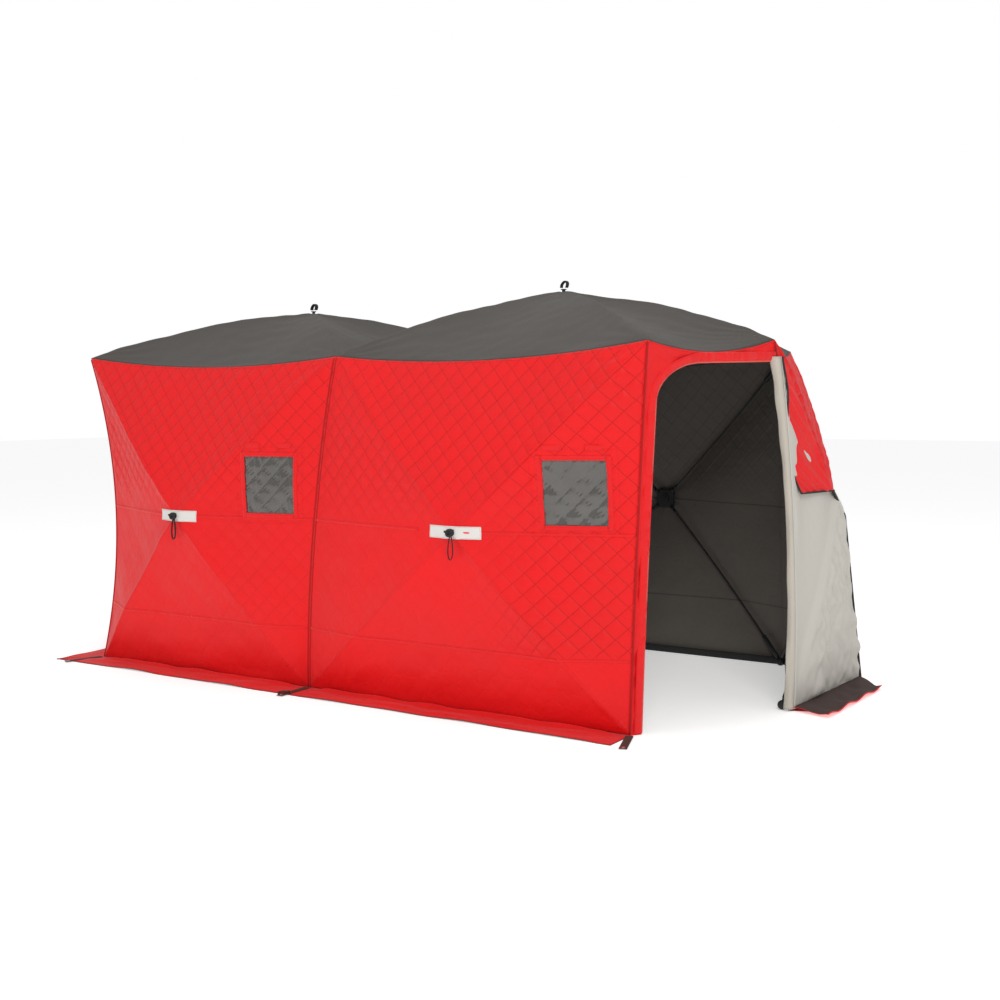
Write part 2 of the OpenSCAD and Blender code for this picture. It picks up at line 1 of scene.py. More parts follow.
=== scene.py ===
"""A two-bay pop-up ice fishing hut: quilted hub walls, peaked roofs, an open doorway and a pole frame."""
import math

import bpy
import bmesh
import numpy as np
from mathutils import Matrix, Vector
from mathutils.bvhtree import BVHTree


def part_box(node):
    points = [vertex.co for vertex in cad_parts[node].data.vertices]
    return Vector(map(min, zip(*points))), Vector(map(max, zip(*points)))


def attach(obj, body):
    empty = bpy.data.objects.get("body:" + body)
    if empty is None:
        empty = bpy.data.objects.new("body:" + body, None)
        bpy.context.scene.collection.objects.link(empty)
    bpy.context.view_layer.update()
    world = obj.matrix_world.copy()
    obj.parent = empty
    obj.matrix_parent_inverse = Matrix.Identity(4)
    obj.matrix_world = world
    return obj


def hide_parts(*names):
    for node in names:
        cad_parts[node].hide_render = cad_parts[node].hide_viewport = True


bl_info = {
    "name": "Ice fishing hut",
    "version": (1, 0, 0),
    "blender": (4, 5, 0),
    "location": "3D View > Sidebar > Hut",
    "description": "Builds a two-bay hub shelter piece by piece around its packed frame",
    "category": "Object",
}

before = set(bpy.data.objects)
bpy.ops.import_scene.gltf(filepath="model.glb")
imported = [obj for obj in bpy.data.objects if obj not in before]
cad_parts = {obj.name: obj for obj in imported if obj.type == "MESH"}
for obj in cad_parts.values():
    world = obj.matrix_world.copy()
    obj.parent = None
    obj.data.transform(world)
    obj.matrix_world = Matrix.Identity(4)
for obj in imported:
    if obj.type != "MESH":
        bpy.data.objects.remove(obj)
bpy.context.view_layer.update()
BODY = "root"


# ---- Small mathematics ------------------------------------------------------

def vec(*values):
    return np.array(values, float)


def box(node):
    low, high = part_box(node)
    return np.array(low, float), np.array(high, float)


def bump(t):
    """A smooth hump that is 0 at both ends and 1 in the middle."""
    return 4 * t * (1 - t)


def ramp(x, start, end):
    """0 before start, 1 past end, and smooth between them."""
    t = np.clip((x - start) / (end - start), 0, 1)
    return t * t * (3 - 2 * t)


def unit(v):
    return v / np.linalg.norm(v)


def flat_unit(v):
    return unit(vec(v[0], v[1], 0))


def mitre(a, b):
    """The vector that keeps two meeting sheets at their thickness."""
    return (a + b) / (1 + a @ b)


def ripples(points, wavelength, seed, count=14):
    """Smooth seeded noise between about -1 and 1: a sum of waves in many directions."""
    rng = np.random.default_rng(seed)
    total = np.zeros(points.shape[:-1])
    for _ in range(count):
        way = rng.normal(size=points.shape[-1])
        way *= 2 * math.pi / (wavelength * rng.uniform(0.7, 1.5) * np.linalg.norm(way))
        total += np.sin(points @ way + rng.uniform(0, 2 * math.pi))
    return total / math.sqrt(count / 2)


# ---- Sizes and colours a user may change ------------------------------------

def length(name, default, text):
    return bpy.props.FloatProperty(name=name, default=default, description=text, unit="LENGTH",
                                   subtype="DISTANCE")


def colour(name, default, text):
    return bpy.props.FloatVectorProperty(name=name, default=default, description=text, subtype="COLOR",
                                         size=3, min=0, max=1)


class HutSizes(bpy.types.PropertyGroup):
    middle_drop: length("Middle drop", 0.032,
                        "How far the seam between the bays hangs below the other corners")
    eave_sag: length("Eave sag", 0.055, "Sag of the fabric edge under the roof")
    hub_bulge: length("Hub bulge", 0.25, "How far a wall hub pushes its wall outwards")
    prow_bulge: length("Entrance hub bulge", 0.29, "How far the hub behind the entrance pushes outwards")
    hub_height: length("Hub height", 0.912, "Height of the wall hubs")
    wall_bow: length("Wall bow", 0.035, "How far the poles bow the wall seams outwards")
    roof_bow: length("Roof bow", 0.045, "How far the poles bow the roof seams upwards")
    wall_thickness: length("Wall thickness", 0.008, "Thickness of the quilted fabric")
    roof_thickness: length("Roof thickness", 0.003, "Thickness of the roof fabric")
    quilt_cell: length("Quilt cell", 0.099, "Width of one sewn diamond")
    window_w: length("Window width", 0.296, "Width of each window")
    window_h: length("Window height", 0.31, "Height of each window")
    header_band: length("Header band", 0.10, "Height of the fabric over the doorway, at its ends")
    door_band: length("Door band", 0.064, "Width of the fabric beside the doorway")
    pole_diameter: length("Pole diameter", 0.011, "Diameter of the flexible poles")
    stitch_pitch: length("Stitch pitch", 0.006, "Distance from stitch to stitch")


class HutColours(bpy.types.PropertyGroup):
    red: colour("Wall fabric", (0.76, 0.004, 0.006), "Colour of the quilted wall fabric")
    roof: colour("Roof fabric", (0.070, 0.063, 0.056), "Colour of the roof fabric")
    # painted shade: the wall lining is the same quilted lining as the door flap's, given a far darker colour
    # to stand in for the dim inside of the hut
    lining: colour("Wall lining", (0.135, 0.120, 0.106), "Colour of the inside of walls")
    door_lining: colour("Door lining", (0.52, 0.48, 0.415), "Colour of the inside of the door flap")
    reflective: colour("Reflective strip", (0.62, 0.60, 0.55), "Colour of the reflective strips")
    webbing: colour("Webbing", (0.012, 0.011, 0.011), "Colour of the black webbing")


def sizes():
    return bpy.context.scene.hut_sizes


def colours():
    return bpy.context.scene.hut_colours


# ---- Places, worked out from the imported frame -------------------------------

LEFT_ROOF = box("left_roof")
LEFT_LEAN, RIGHT_TOP, RIGHT_FOOT = 0.039, 0.037, -0.047
X_LEFT, Y_FRONT = LEFT_ROOF[0][:2] + vec(LEFT_LEAN, 0)
X_MIDDLE, Y_BACK = LEFT_ROOF[1][:2]
X_RIGHT = box("front_right_wall")[1][0] - RIGHT_TOP
EAVE = box("front_left_wall")[1][2]
POST_Y = Y_FRONT + 0.836
POST_FOOT_X = X_RIGHT + 0.400
POST_TOP_X, POST_TOP_Z = POST_FOOT_X - 0.095, EAVE + 0.022
MIDDLE_SHIFT = X_MIDDLE - box("front_right_wall")[0][0]
CORNER_PULL = 0.075
MIDDLE_PUSH = 0.06

IN_FRONT, IN_BACK, IN_LEFT = vec(0, 1, 0), vec(0, -1, 0), vec(1, 0, 0)
IN_ROOF = vec(0, 0, -1)


class Corner:
    """A corner edge of the hut, which runs from its foot to its top and bends sideways."""

    def __init__(self, x, y, top, bend, top_x=None):
        self.foot = vec(x, y, 0)
        self.top = vec(x if top_x is None else top_x, y, top)
        self.bend = vec(*bend)

    def along(self, t):
        t = np.asarray(t, float)[..., None]
        return self.foot + (self.top - self.foot) * t + bump(t) * self.bend


def make_corners():
    low = EAVE - 0.032
    foot = X_MIDDLE - MIDDLE_SHIFT
    return {
        "front_left": Corner(X_LEFT, Y_FRONT, EAVE, (CORNER_PULL, CORNER_PULL, 0), X_LEFT - LEFT_LEAN),
        "front_middle": Corner(foot, Y_FRONT, low, (0, -MIDDLE_PUSH, 0), X_MIDDLE),
        "front_right": Corner(X_RIGHT + RIGHT_FOOT, Y_FRONT, EAVE, (-0.03, 0.047, 0), X_RIGHT + RIGHT_TOP),
        "back_left": Corner(X_LEFT, Y_BACK, EAVE, (CORNER_PULL, -CORNER_PULL, 0), X_LEFT - LEFT_LEAN),
        "back_middle": Corner(foot, Y_BACK, low, (0, MIDDLE_PUSH, 0), X_MIDDLE),
        "back_right": Corner(X_RIGHT, Y_BACK, EAVE, (-0.025, -0.045, 0)),
        "post": Corner(POST_FOOT_X, POST_Y, POST_TOP_Z, (0.03, 0.015, 0), POST_TOP_X),
    }


CORNERS = make_corners()


def inward(a, b):
    d = flat_unit(CORNERS[b].foot - CORNERS[a].foot)
    return vec(-d[1], d[0], 0)


IN_DOOR = inward("front_right", "post")
IN_PROW = inward("post", "back_right")

# Each wall: its corner edges from left to right seen from outside, its own
# inward way, the inward ways of its two neighbours, and whether it has a window
WALLS = {
    "front_left": ("front_left", "front_middle", IN_FRONT, IN_LEFT, IN_FRONT, True),
    "front_right": ("front_middle", "front_right", IN_FRONT, IN_FRONT, IN_DOOR, True),
    "back_right": ("back_right", "back_middle", IN_BACK, IN_PROW, IN_BACK, True),
    "back_left": ("back_middle", "back_left", IN_BACK, IN_BACK, IN_LEFT, True),
    "left_end": ("back_left", "front_left", IN_LEFT, IN_BACK, IN_FRONT, False),
    "prow": ("post", "back_right", IN_PROW, IN_DOOR, IN_BACK, False),
}


def eave_line(a, b, t):
    t = np.asarray(t, float)[..., None]
    a, b = CORNERS[a].top, CORNERS[b].top
    return a + (b - a) * t - vec(0, 0, sizes().eave_sag) * bump(t)


def ground_line(a, b, t):
    t = np.asarray(t, float)[..., None]
    a, b = CORNERS[a].foot, CORNERS[b].foot
    return a + (b - a) * t


def wall_tip(name):
    """The point where a wall's hub pushes its fabric furthest out."""
    a, b, into = WALLS[name][:3]
    middle = (CORNERS[a].top + CORNERS[b].top) / 2
    return vec(middle[0], middle[1], sizes().hub_height) - into * bulge_of(name)


def bulge_of(name):
    return sizes().prow_bulge if name == "prow" else sizes().hub_bulge


def hub_slope(name):
    """How steeply the fabric falls away from a wall's hub."""
    a, b = WALLS[name][:2]
    s = sizes()
    half = np.linalg.norm(CORNERS[a].top - CORNERS[b].top) / 2
    return bulge_of(name) / min(half, s.hub_height, EAVE - s.eave_sag - s.hub_height)


# ---- Meshes -----------------------------------------------------------------

def mesh_piece(name, points, faces, materials, uv=None, extra_uv=None, face_material=None):
    """A smooth mesh object. uv and extra_uv give each point's place on the cloth, in metres."""
    mesh = bpy.data.meshes.new(name)
    mesh.from_pydata([tuple(p) for p in points], [], [tuple(int(i) for i in f) for f in faces])
    loops = np.zeros(len(mesh.loops), np.int32)
    mesh.loops.foreach_get("vertex_index", loops)
    for map_name, values in (("cloth", uv), ("edges", extra_uv)):
        if values is not None:
            layer = mesh.uv_layers.new(name=map_name)
            layer.data.foreach_set("uv", np.asarray(values, np.float32)[loops].ravel())
    for material in materials:
        mesh.materials.append(material)
    if face_material is not None:
        mesh.polygons.foreach_set("material_index", np.asarray(face_material, np.int32))
    mesh.polygons.foreach_set("use_smooth", np.ones(len(mesh.polygons), bool))
    mesh.update()
    piece = bpy.data.objects.new(name, mesh)
    bpy.context.collection.objects.link(piece)
    return piece


def grid_faces(rows, cols, start=0, closed=False, turned=False):
    i = np.arange(rows if closed else rows - 1)
    j = np.arange(cols - 1)
    i, j = np.meshgrid(i, j, indexing="ij")
    a, b = i * cols + j, (i + 1) % rows * cols + j
    quads = np.stack([a, b, b + 1, a + 1], -1).reshape(-1, 4) + start
    return quads[:, ::-1] if turned else quads


def cloth_shell(name, outer, inner, materials, uv, extra_uv=None, closed=False):
    """A closed sheet between two grids of points. The outer side takes the first
    material and the inner side and the rims the others. Closed grids run round."""
    rows, cols = outer.shape[:2]
    total = rows * cols
    k = outer.shape[0] // 3
    way = np.cross(outer[(k + 1) % rows, 1] - outer[k, 1], outer[k, 2] - outer[k, 1])
    turned = bool(way @ (outer[k, 1] - inner[k, 1]) < 0)
    parts = [grid_faces(rows, cols, 0, closed, turned), grid_faces(rows, cols, total, closed, not turned)]
    i = np.arange(rows if closed else rows - 1) * cols
    n = (i + cols) % total if closed else i + cols
    rims = [np.stack([i, i + total, n + total, n], -1),
            np.stack([n, n + total, i + total, i], -1) + cols - 1]
    if not closed:
        j = np.arange(cols - 1)
        last = (rows - 1) * cols
        rims += [np.stack([j + 1, j + 1 + total, j + total, j], -1),
                 np.stack([j, j + total, j + 1 + total, j + 1], -1) + last]
    parts += [r[:, ::-1] if turned else r for r in rims]
    slots = [0] * len(parts[0]) + [min(1, len(materials) - 1)] * len(parts[1])
    slots += [min(2, len(materials) - 1)] * sum(len(r) for r in rims)
    points = np.concatenate([outer.reshape(-1, 3), inner.reshape(-1, 3)])
    double = lambda a: None if a is None else np.concatenate([a.reshape(-1, 2)] * 2)
    return mesh_piece(name, points, np.concatenate(parts), materials, double(uv), double(extra_uv), slots)


def tube_piece(name, path, radii, material, sides=12):
    """A closed round tube along a path, with its own radius at each point."""
    path = np.asarray(path, float)
    way = np.gradient(path, axis=0)
    way /= np.linalg.norm(way, axis=1)[:, None]
    side = np.cross(way, vec(0.31, 0.17, 0.93))
    side /= np.linalg.norm(side, axis=1)[:, None]
    up = np.cross(side, way)
    angle = 2 * math.pi * np.arange(sides) / sides
    ring = np.cos(angle)[None, :, None] * side[:, None] + np.sin(angle)[None, :, None] * up[:, None]
    points = path[:, None] + ring * np.broadcast_to(radii, len(path))[:, None, None]
    count = len(path)
    faces = []
    for k in range(count - 1):
        for j in range(sides):
            a, b = k * sides + j, k * sides + (j + 1) % sides
            faces.append((a, a + sides, b + sides, b))
    faces.append(tuple(range(sides)))
    faces.append(tuple(range(count * sides - 1, (count - 1) * sides - 1, -1)))
    return mesh_piece(name, points.reshape(-1, 3), faces, [material])


def strap_piece(name, path, across, thickness, material, rows=4):
    """Flat webbing along a path. across is the half width vector at each point."""
    path, across = np.asarray(path, float), np.asarray(across, float)
    way = np.gradient(path, axis=0)
    out = np.cross(across, way)
    out /= np.linalg.norm(out, axis=1)[:, None]
    share = np.linspace(-1, 1, rows)
    outer = path[:, None] + across[:, None] * share[None, :, None]
    outer = outer + out[:, None] * thickness * 0.5 * (1 - 0.35 * share[None, :, None] ** 4)
    inner = path[:, None] + across[:, None] * share[None, :, None]
    inner = inner - out[:, None] * thickness * 0.5 * (1 - 0.35 * share[None, :, None] ** 4)
    run = np.concatenate([[0], np.cumsum(np.linalg.norm(np.diff(path, axis=0), axis=1))])
    width = np.linalg.norm(across, axis=1)
    uv = np.stack([share[None, :] * width[:, None], np.broadcast_to(run[:, None], (len(path), rows))], -1)
    return cloth_shell(name, outer, inner, [material], uv)


def joined(name, pieces):
    """One object made from several."""
    bpy.ops.object.select_all(action="DESELECT")
    for piece in pieces:
        piece.select_set(True)
    bpy.context.view_layer.objects.active = pieces[0]
    bpy.ops.object.join()
    pieces[0].name = name
    return pieces[0]


def plain_copy(piece):
    """Applies a piece's modifiers by making its evaluated mesh its own."""
    graph = bpy.context.evaluated_depsgraph_get()
    mesh = bpy.data.meshes.new_from_object(piece.evaluated_get(graph))
    piece.modifiers.clear()
    piece.data = mesh
    return piece


def finish_piece(piece, slot, *nodes):
    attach(piece, BODY)
    if nodes:
        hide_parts(*nodes)
    return piece


def surface_of(piece):
    """A way to ask where a wall's outer surface lies beneath any point."""
    mesh = piece.data
    return BVHTree.FromPolygons([v.co for v in mesh.vertices], [p.vertices for p in mesh.polygons])


def dropped(tree, points, into, lift):
    """Points pressed against a surface from outside, and lifted off it."""
    into = Vector(into)
    out = []
    for p in np.asarray(points, float).reshape(-1, 3):
        start = Vector(p) - into * 0.4
        hit = tree.ray_cast(start, into)[0]
        place = hit if hit is not None else Vector(p)
        out.append(np.array(place - into * lift))
    return np.array(out).reshape(np.shape(points))


# ---- Shader groups ----------------------------------------------------------

class Nodes:
    """Short ways to place and link nodes in a tree."""

    def __init__(self, tree):
        self.tree = tree
        tree.nodes.clear()

    def add(self, kind, **values):
        node = self.tree.nodes.new(kind)
        for key, value in values.items():
            setattr(node, key, value)
        return node

    def link(self, a, b):
        self.tree.links.new(a, b)

    def put(self, socket, value):
        if isinstance(value, bpy.types.NodeSocket):
            self.link(value, socket)
        elif value is not None:
            socket.default_value = value

    def math(self, operation, a, b=None, c=None, clamp=False):
        node = self.add("ShaderNodeMath", operation=operation, use_clamp=clamp)
        for socket, value in zip(node.inputs, (a, b, c)):
            self.put(socket, value)
        return node.outputs[0]

    def mix(self, factor, a, b, blend="MIX"):
        node = self.add("ShaderNodeMix", data_type="RGBA", blend_type=blend)
        self.put(node.inputs["Factor"], factor)
        self.put(node.inputs[6], a)
        self.put(node.inputs[7], b)
        return node.outputs[2]

    def noise(self, vector, scale, detail=2.0, roughness=0.5):
        node = self.add("ShaderNodeTexNoise")
        self.put(node.inputs["Vector"], vector)
        self.put(node.inputs["Scale"], scale)
        self.put(node.inputs["Detail"], detail)
        self.put(node.inputs["Roughness"], roughness)
        return node.outputs["Fac"]

    def span(self, value, low, high, to_low=0.0, to_high=1.0):
        node = self.add("ShaderNodeMapRange", interpolation_type="SMOOTHSTEP")
        for key, item in (("Value", value), ("From Min", low), ("From Max", high),
                          ("To Min", to_low), ("To Max", to_high)):
            self.put(node.inputs[key], item)
        return node.outputs["Result"]

    def split(self, vector):
        node = self.add("ShaderNodeSeparateXYZ")
        self.link(vector, node.inputs[0])
        return node.outputs

    def bump(self, height, distance, normal=None, strength=1.0):
        node = self.add("ShaderNodeBump")
        node.inputs["Strength"].default_value = strength
        node.inputs["Distance"].default_value = distance
        self.link(height, node.inputs["Height"])
        if normal is not None:
            self.link(normal, node.inputs["Normal"])
        return node.outputs["Normal"]

    def group(self, name, **values):
        node = self.add("ShaderNodeGroup", node_tree=GROUPS[name]())
        for key, value in values.items():
            self.put(node.inputs[key], value)
        return node.outputs


def new_group(name, inputs, outputs):
    """An empty shader group with named sockets."""
    tree = bpy.data.node_groups.new(name, "ShaderNodeTree")
    for label, kind, default in inputs:
        socket = tree.interface.new_socket(label, in_out="INPUT", socket_type=kind)
        if default is not None:
            socket.default_value = default
    for label, kind in outputs:
        tree.interface.new_socket(label, in_out="OUTPUT", socket_type=kind)
    nodes = Nodes(tree)
    return nodes, nodes.add("NodeGroupInput").outputs, nodes.add("NodeGroupOutput").inputs


def once(make):
    """Builds a shader group on first use and hands out the same one after."""
    name = make.__name__

    def get():
        return bpy.data.node_groups.get(name) or make(name)
    return get


@once
def cloth_weave(name):
    """Plain weave: threads that pass over and under each other."""
    n, source, sink = new_group(name, [("Vector", "NodeSocketVector", None),
                                       ("Threads", "NodeSocketFloat", 900.0)],
                                [("Height", "NodeSocketFloat")])
    x, y, _ = n.split(source["Vector"])
    turn = n.math("MULTIPLY", source["Threads"], math.pi)
    sx = n.math("SINE", n.math("MULTIPLY", x, turn))
    sy = n.math("SINE", n.math("MULTIPLY", y, turn))
    n.link(n.math("MULTIPLY_ADD", n.math("MULTIPLY", sx, sy), 0.5, 0.5), sink["Height"])
    return n.tree


@once
def quilt_diamonds(name):
    """Sewn diamonds: a pillow height, and a mask of the sewn lines broken into stitches."""
    n, source, sink = new_group(
        name, [("Vector", "NodeSocketVector", None), ("Cell", "NodeSocketFloat", 0.099),
               ("Slope", "NodeSocketFloat", 1.0)],
        [("Pillow", "NodeSocketFloat"), ("Line", "NodeSocketFloat"), ("Stitch", "NodeSocketFloat")])
    x, y, _ = n.split(source["Vector"])
    lean = n.math("MULTIPLY", y, source["Slope"])
    rows = []
    for operation in ("ADD", "SUBTRACT"):
        place = n.math("DIVIDE", n.math(operation, x, lean), source["Cell"])
        rows.append(n.math("ABSOLUTE", n.math("SINE", n.math("MULTIPLY", place, math.pi))))
    near = n.math("MINIMUM", rows[0], rows[1])
    n.link(n.math("POWER", near, 0.6), sink["Pillow"])
    line = n.span(near, 0.02, 0.07, 1.0, 0.0)
    n.link(line, sink["Line"])
    dash = n.math("SINE", n.math("MULTIPLY", y, 2 * math.pi / 0.0055))
    n.link(n.math("MULTIPLY", line, n.span(dash, -0.2, 0.4)), sink["Stitch"])
    return n.tree


@once
def handling_marks(name):
    """Slow colour drift from folding and handling, and finer creases."""
    n, source, sink = new_group(name, [("Vector", "NodeSocketVector", None)],
                                [("Drift", "NodeSocketFloat"), ("Crease", "NodeSocketFloat")])
    n.link(n.noise(source["Vector"], 2.3, 3.0, 0.55), sink["Drift"])
    crease = n.add("ShaderNodeTexVoronoi", feature="DISTANCE_TO_EDGE")
    warp = n.add("ShaderNodeVectorMath", operation="MULTIPLY_ADD")
    noise = n.add("ShaderNodeTexNoise")
    n.link(source["Vector"], noise.inputs["Vector"])
    noise.inputs["Scale"].default_value = 6.0
    n.link(noise.outputs["Color"], warp.inputs[0])
    warp.inputs[1].default_value = (0.12, 0.12, 0.12)
    n.link(source["Vector"], warp.inputs[2])
    n.link(warp.outputs[0], crease.inputs["Vector"])
    crease.inputs["Scale"].default_value = 9.0
    n.link(n.span(crease.outputs["Distance"], 0.0, 0.09), sink["Crease"])
    return n.tree


@once
def sewn_edge(name):
    """Two stitch lines beside a seam or hem, from the distance to it."""
    n, source, sink = new_group(
        name, [("Distance", "NodeSocketFloat", 0.0), ("Run", "NodeSocketFloat", 0.0),
               ("Width", "NodeSocketFloat", 0.012)],
        [("Fold", "NodeSocketFloat"), ("Stitch", "NodeSocketFloat")])
    n.link(n.span(source["Distance"], source["Width"], n.math("ADD", source["Width"], 0.0015), 1.0, 0.0),
           sink["Fold"])
    offset = n.math("ABSOLUTE", n.math("SUBTRACT", source["Distance"],
                                       n.math("MULTIPLY", source["Width"], 0.75)))
    line = n.span(offset, 0.0006, 0.0013, 1.0, 0.0)
    dash = n.span(n.math("SINE", n.math("MULTIPLY", source["Run"], 2 * math.pi / 0.006)), -0.3, 0.3)
    n.link(n.math("MULTIPLY", line, dash), sink["Stitch"])
    return n.tree


GROUPS = {"weave": cloth_weave, "quilt": quilt_diamonds, "marks": handling_marks, "sewn": sewn_edge}


# ---- Materials --------------------------------------------------------------

def new_material(name):
    material = bpy.data.materials.new(name)
    material.use_nodes = True
    n = Nodes(material.node_tree)
    shader = n.add("ShaderNodeBsdfPrincipled")
    output = n.add("ShaderNodeOutputMaterial")
    n.link(shader.outputs[0], output.inputs[0])
    return material, n, shader.inputs


def uv_map(n, name="cloth"):
    return n.add("ShaderNodeUVMap", uv_map=name).outputs[0]


def shade(rgb, factor):
    return (*(min(1.0, c * factor) for c in rgb), 1)


def quilted_cloth(name, rgb, sheen, cell, depth, roughness=0.56, level_seams=()):
    """Coated polyester sewn to its wadding in diamonds."""
    material, n, sockets = new_material(name)
    cloth = uv_map(n)
    edge = n.split(uv_map(n, "edges"))
    quilt = n.group("quilt", Vector=cloth, Cell=cell)
    marks = n.group("marks", Vector=cloth)
    weave = n.group("weave", Vector=cloth, Threads=700.0)
    weight = edge[1]
    y = n.split(cloth)[1]
    seam = n.group("sewn", Distance=edge[0], Run=y, Width=0.012)
    tone = n.mix(marks["Drift"], shade(rgb, 0.86), shade(rgb, 1.06))
    # painted shade: the sewn quilting lines are darkened, more where the weight is high, to stand in for the
    # shade in their grooves
    tone = n.mix(n.math("MULTIPLY", quilt["Line"], n.math("MULTIPLY", weight, 0.6)), tone, shade(rgb, 0.4))
    tone = n.mix(n.math("MULTIPLY", seam["Stitch"], 0.5), tone, shade(rgb, 0.4))
    level = n.split(n.add("ShaderNodeTexCoord").outputs["Object"])[2]
    for height in level_seams:
        near = n.math("ABSOLUTE", n.math("SUBTRACT", level, height))
        tone = n.mix(n.span(near, 0.002, 0.005, 0.6, 0.0), tone, shade(rgb, 0.35))
    n.link(tone, sockets["Base Color"])
    n.link(n.span(marks["Drift"], 0.3, 0.7, roughness - 0.06, roughness + 0.06), sockets["Roughness"])
    sockets["Sheen Weight"].default_value = sheen
    sockets["Sheen Roughness"].default_value = 0.4
    sockets["Specular IOR Level"].default_value = 0.28
    height = n.math("MULTIPLY", n.math("MULTIPLY", quilt["Pillow"], weight), depth)
    height = n.math("MULTIPLY_ADD", quilt["Stitch"], n.math("MULTIPLY", weight, -0.0006), height)
    height = n.math("MULTIPLY_ADD", seam["Fold"], 0.0009, height)
    height = n.math("MULTIPLY_ADD", seam["Stitch"], -0.0004, height)
    height = n.math("MULTIPLY_ADD", marks["Crease"], 0.0005, height)
    height = n.math("MULTIPLY_ADD", n.noise(cloth, 38.0, 3.0), 0.0011, height)
    height = n.math("MULTIPLY_ADD", weave["Height"], 0.00012, height)
    n.link(n.bump(height, 1.0), sockets["Normal"])
    return material


def plain_cloth(name, rgb, sheen=0.15, threads=900.0, crumple=0.0009, roughness=0.7, wave_scale=26.0):
    """Thin woven cloth with a light crumple."""
    material, n, sockets = new_material(name)
    cloth = uv_map(n)
    marks = n.group("marks", Vector=cloth)
    weave = n.group("weave", Vector=cloth, Threads=threads)
    tone = n.mix(marks["Drift"], shade(rgb, 0.82), shade(rgb, 1.12))
    tone = n.mix(n.math("MULTIPLY", weave["Height"], 0.12), tone, shade(rgb, 0.6))
    n.link(tone, sockets["Base Color"])
    n.link(n.span(marks["Drift"], 0.3, 0.7, roughness - 0.05, roughness + 0.05), sockets["Roughness"])
    sockets["Sheen Weight"].default_value = sheen
    sockets["Specular IOR Level"].default_value = 0.28
    height = n.math("MULTIPLY", n.noise(cloth, wave_scale, 3.0), crumple)
    height = n.math("MULTIPLY_ADD", marks["Crease"], crumple * 0.5, height)
    height = n.math("MULTIPLY_ADD", weave["Height"], 0.00012, height)
    n.link(n.bump(height, 1.0), sockets["Normal"])
    return material


def webbing_cloth(name, rgb):
    """Ribbed narrow webbing."""
    material, n, sockets = new_material(name)
    place = n.add("ShaderNodeTexCoord").outputs["Object"]
    rib = n.add("ShaderNodeTexWave", wave_type="BANDS", bands_direction="DIAGONAL")
    n.link(place, rib.inputs["Vector"])
    rib.inputs["Scale"].default_value = 140.0
    rib.inputs["Distortion"].default_value = 1.0
    n.link(n.mix(rib.outputs["Fac"], shade(rgb, 0.7), shade(rgb, 1.8)), sockets["Base Color"])
    n.link(n.span(rib.outputs["Fac"], 0, 1, 0.72, 0.9), sockets["Roughness"])
    n.link(n.bump(rib.outputs["Fac"], 0.0006), sockets["Normal"])
    return material


def moulded(name, rgb, roughness=0.45, grain=0.0003):
    """Moulded plastic or rubber with a fine grain and scuffs."""
    material, n, sockets = new_material(name)
    place = n.add("ShaderNodeTexCoord").outputs["Object"]
    scuff = n.noise(place, 24.0, 4.0, 0.6)
    n.link(n.mix(n.span(scuff, 0.5, 0.75), shade(rgb, 1.0), shade(rgb, 1.9)), sockets["Base Color"])
    n.link(n.span(scuff, 0.35, 0.7, roughness, roughness + 0.2), sockets["Roughness"])
    n.link(n.bump(n.noise(place, 420.0, 2.0), grain), sockets["Normal"])
    return material


def bare_metal(name, rgb, roughness=0.3):
    material, n, sockets = new_material(name)
    place = n.add("ShaderNodeTexCoord").outputs["Object"]
    scratch = n.noise(place, 160.0, 4.0, 0.7)
    n.link(n.mix(scratch, shade(rgb, 0.75), shade(rgb, 1.1)), sockets["Base Color"])
    n.link(n.span(scratch, 0.3, 0.7, roughness - 0.08, roughness + 0.12), sockets["Roughness"])
    sockets["Metallic"].default_value = 1.0
    return material


def clear_sheet(name):
    """Soft clear sheet, smooth and a little hazed. Its dark grey, nearly opaque colour is painted shade for
    the dim inside seen through it.
    """
    material, n, sockets = new_material(name)
    haze = n.noise(uv_map(n), 5.0, 1.0)
    # painted shade: the dark tones stand in for the shaded inside of the hut seen through the pane, and the
    # haze varies them
    n.link(n.mix(haze, (0.050, 0.047, 0.041, 1), (0.105, 0.099, 0.087, 1)), sockets["Base Color"])
    n.link(n.span(haze, 0.3, 0.7, 0.05, 0.12), sockets["Roughness"])
    sockets["Alpha"].default_value = 0.80
    sockets["IOR"].default_value = 1.55
    sockets["Coat Weight"].default_value = 1.0
    sockets["Coat Roughness"].default_value = 0.03
    return material


def material(name):
    """The material of that name, built on first use."""
    return bpy.data.materials.get(name) or MATERIALS[name](name)


def red_cloth(name):
    return quilted_cloth(name, colours().red, 0.06, sizes().quilt_cell, 0.0042)


def red_plain(name):
    return plain_cloth(name, colours().red, 0.12, crumple=0.0016, roughness=0.58)


# painted shade: this lining takes the darkened lining colour, which stands in for the shade inside the hut
def shaded_wall_lining(name):
    return quilted_cloth(name, colours().lining, 0.05, sizes().quilt_cell, 0.0014, 0.8, LEVEL_SEAMS)


def door_lining(name):
    return quilted_cloth(name, colours().door_lining, 0.1, sizes().quilt_cell, 0.0011, 0.7)


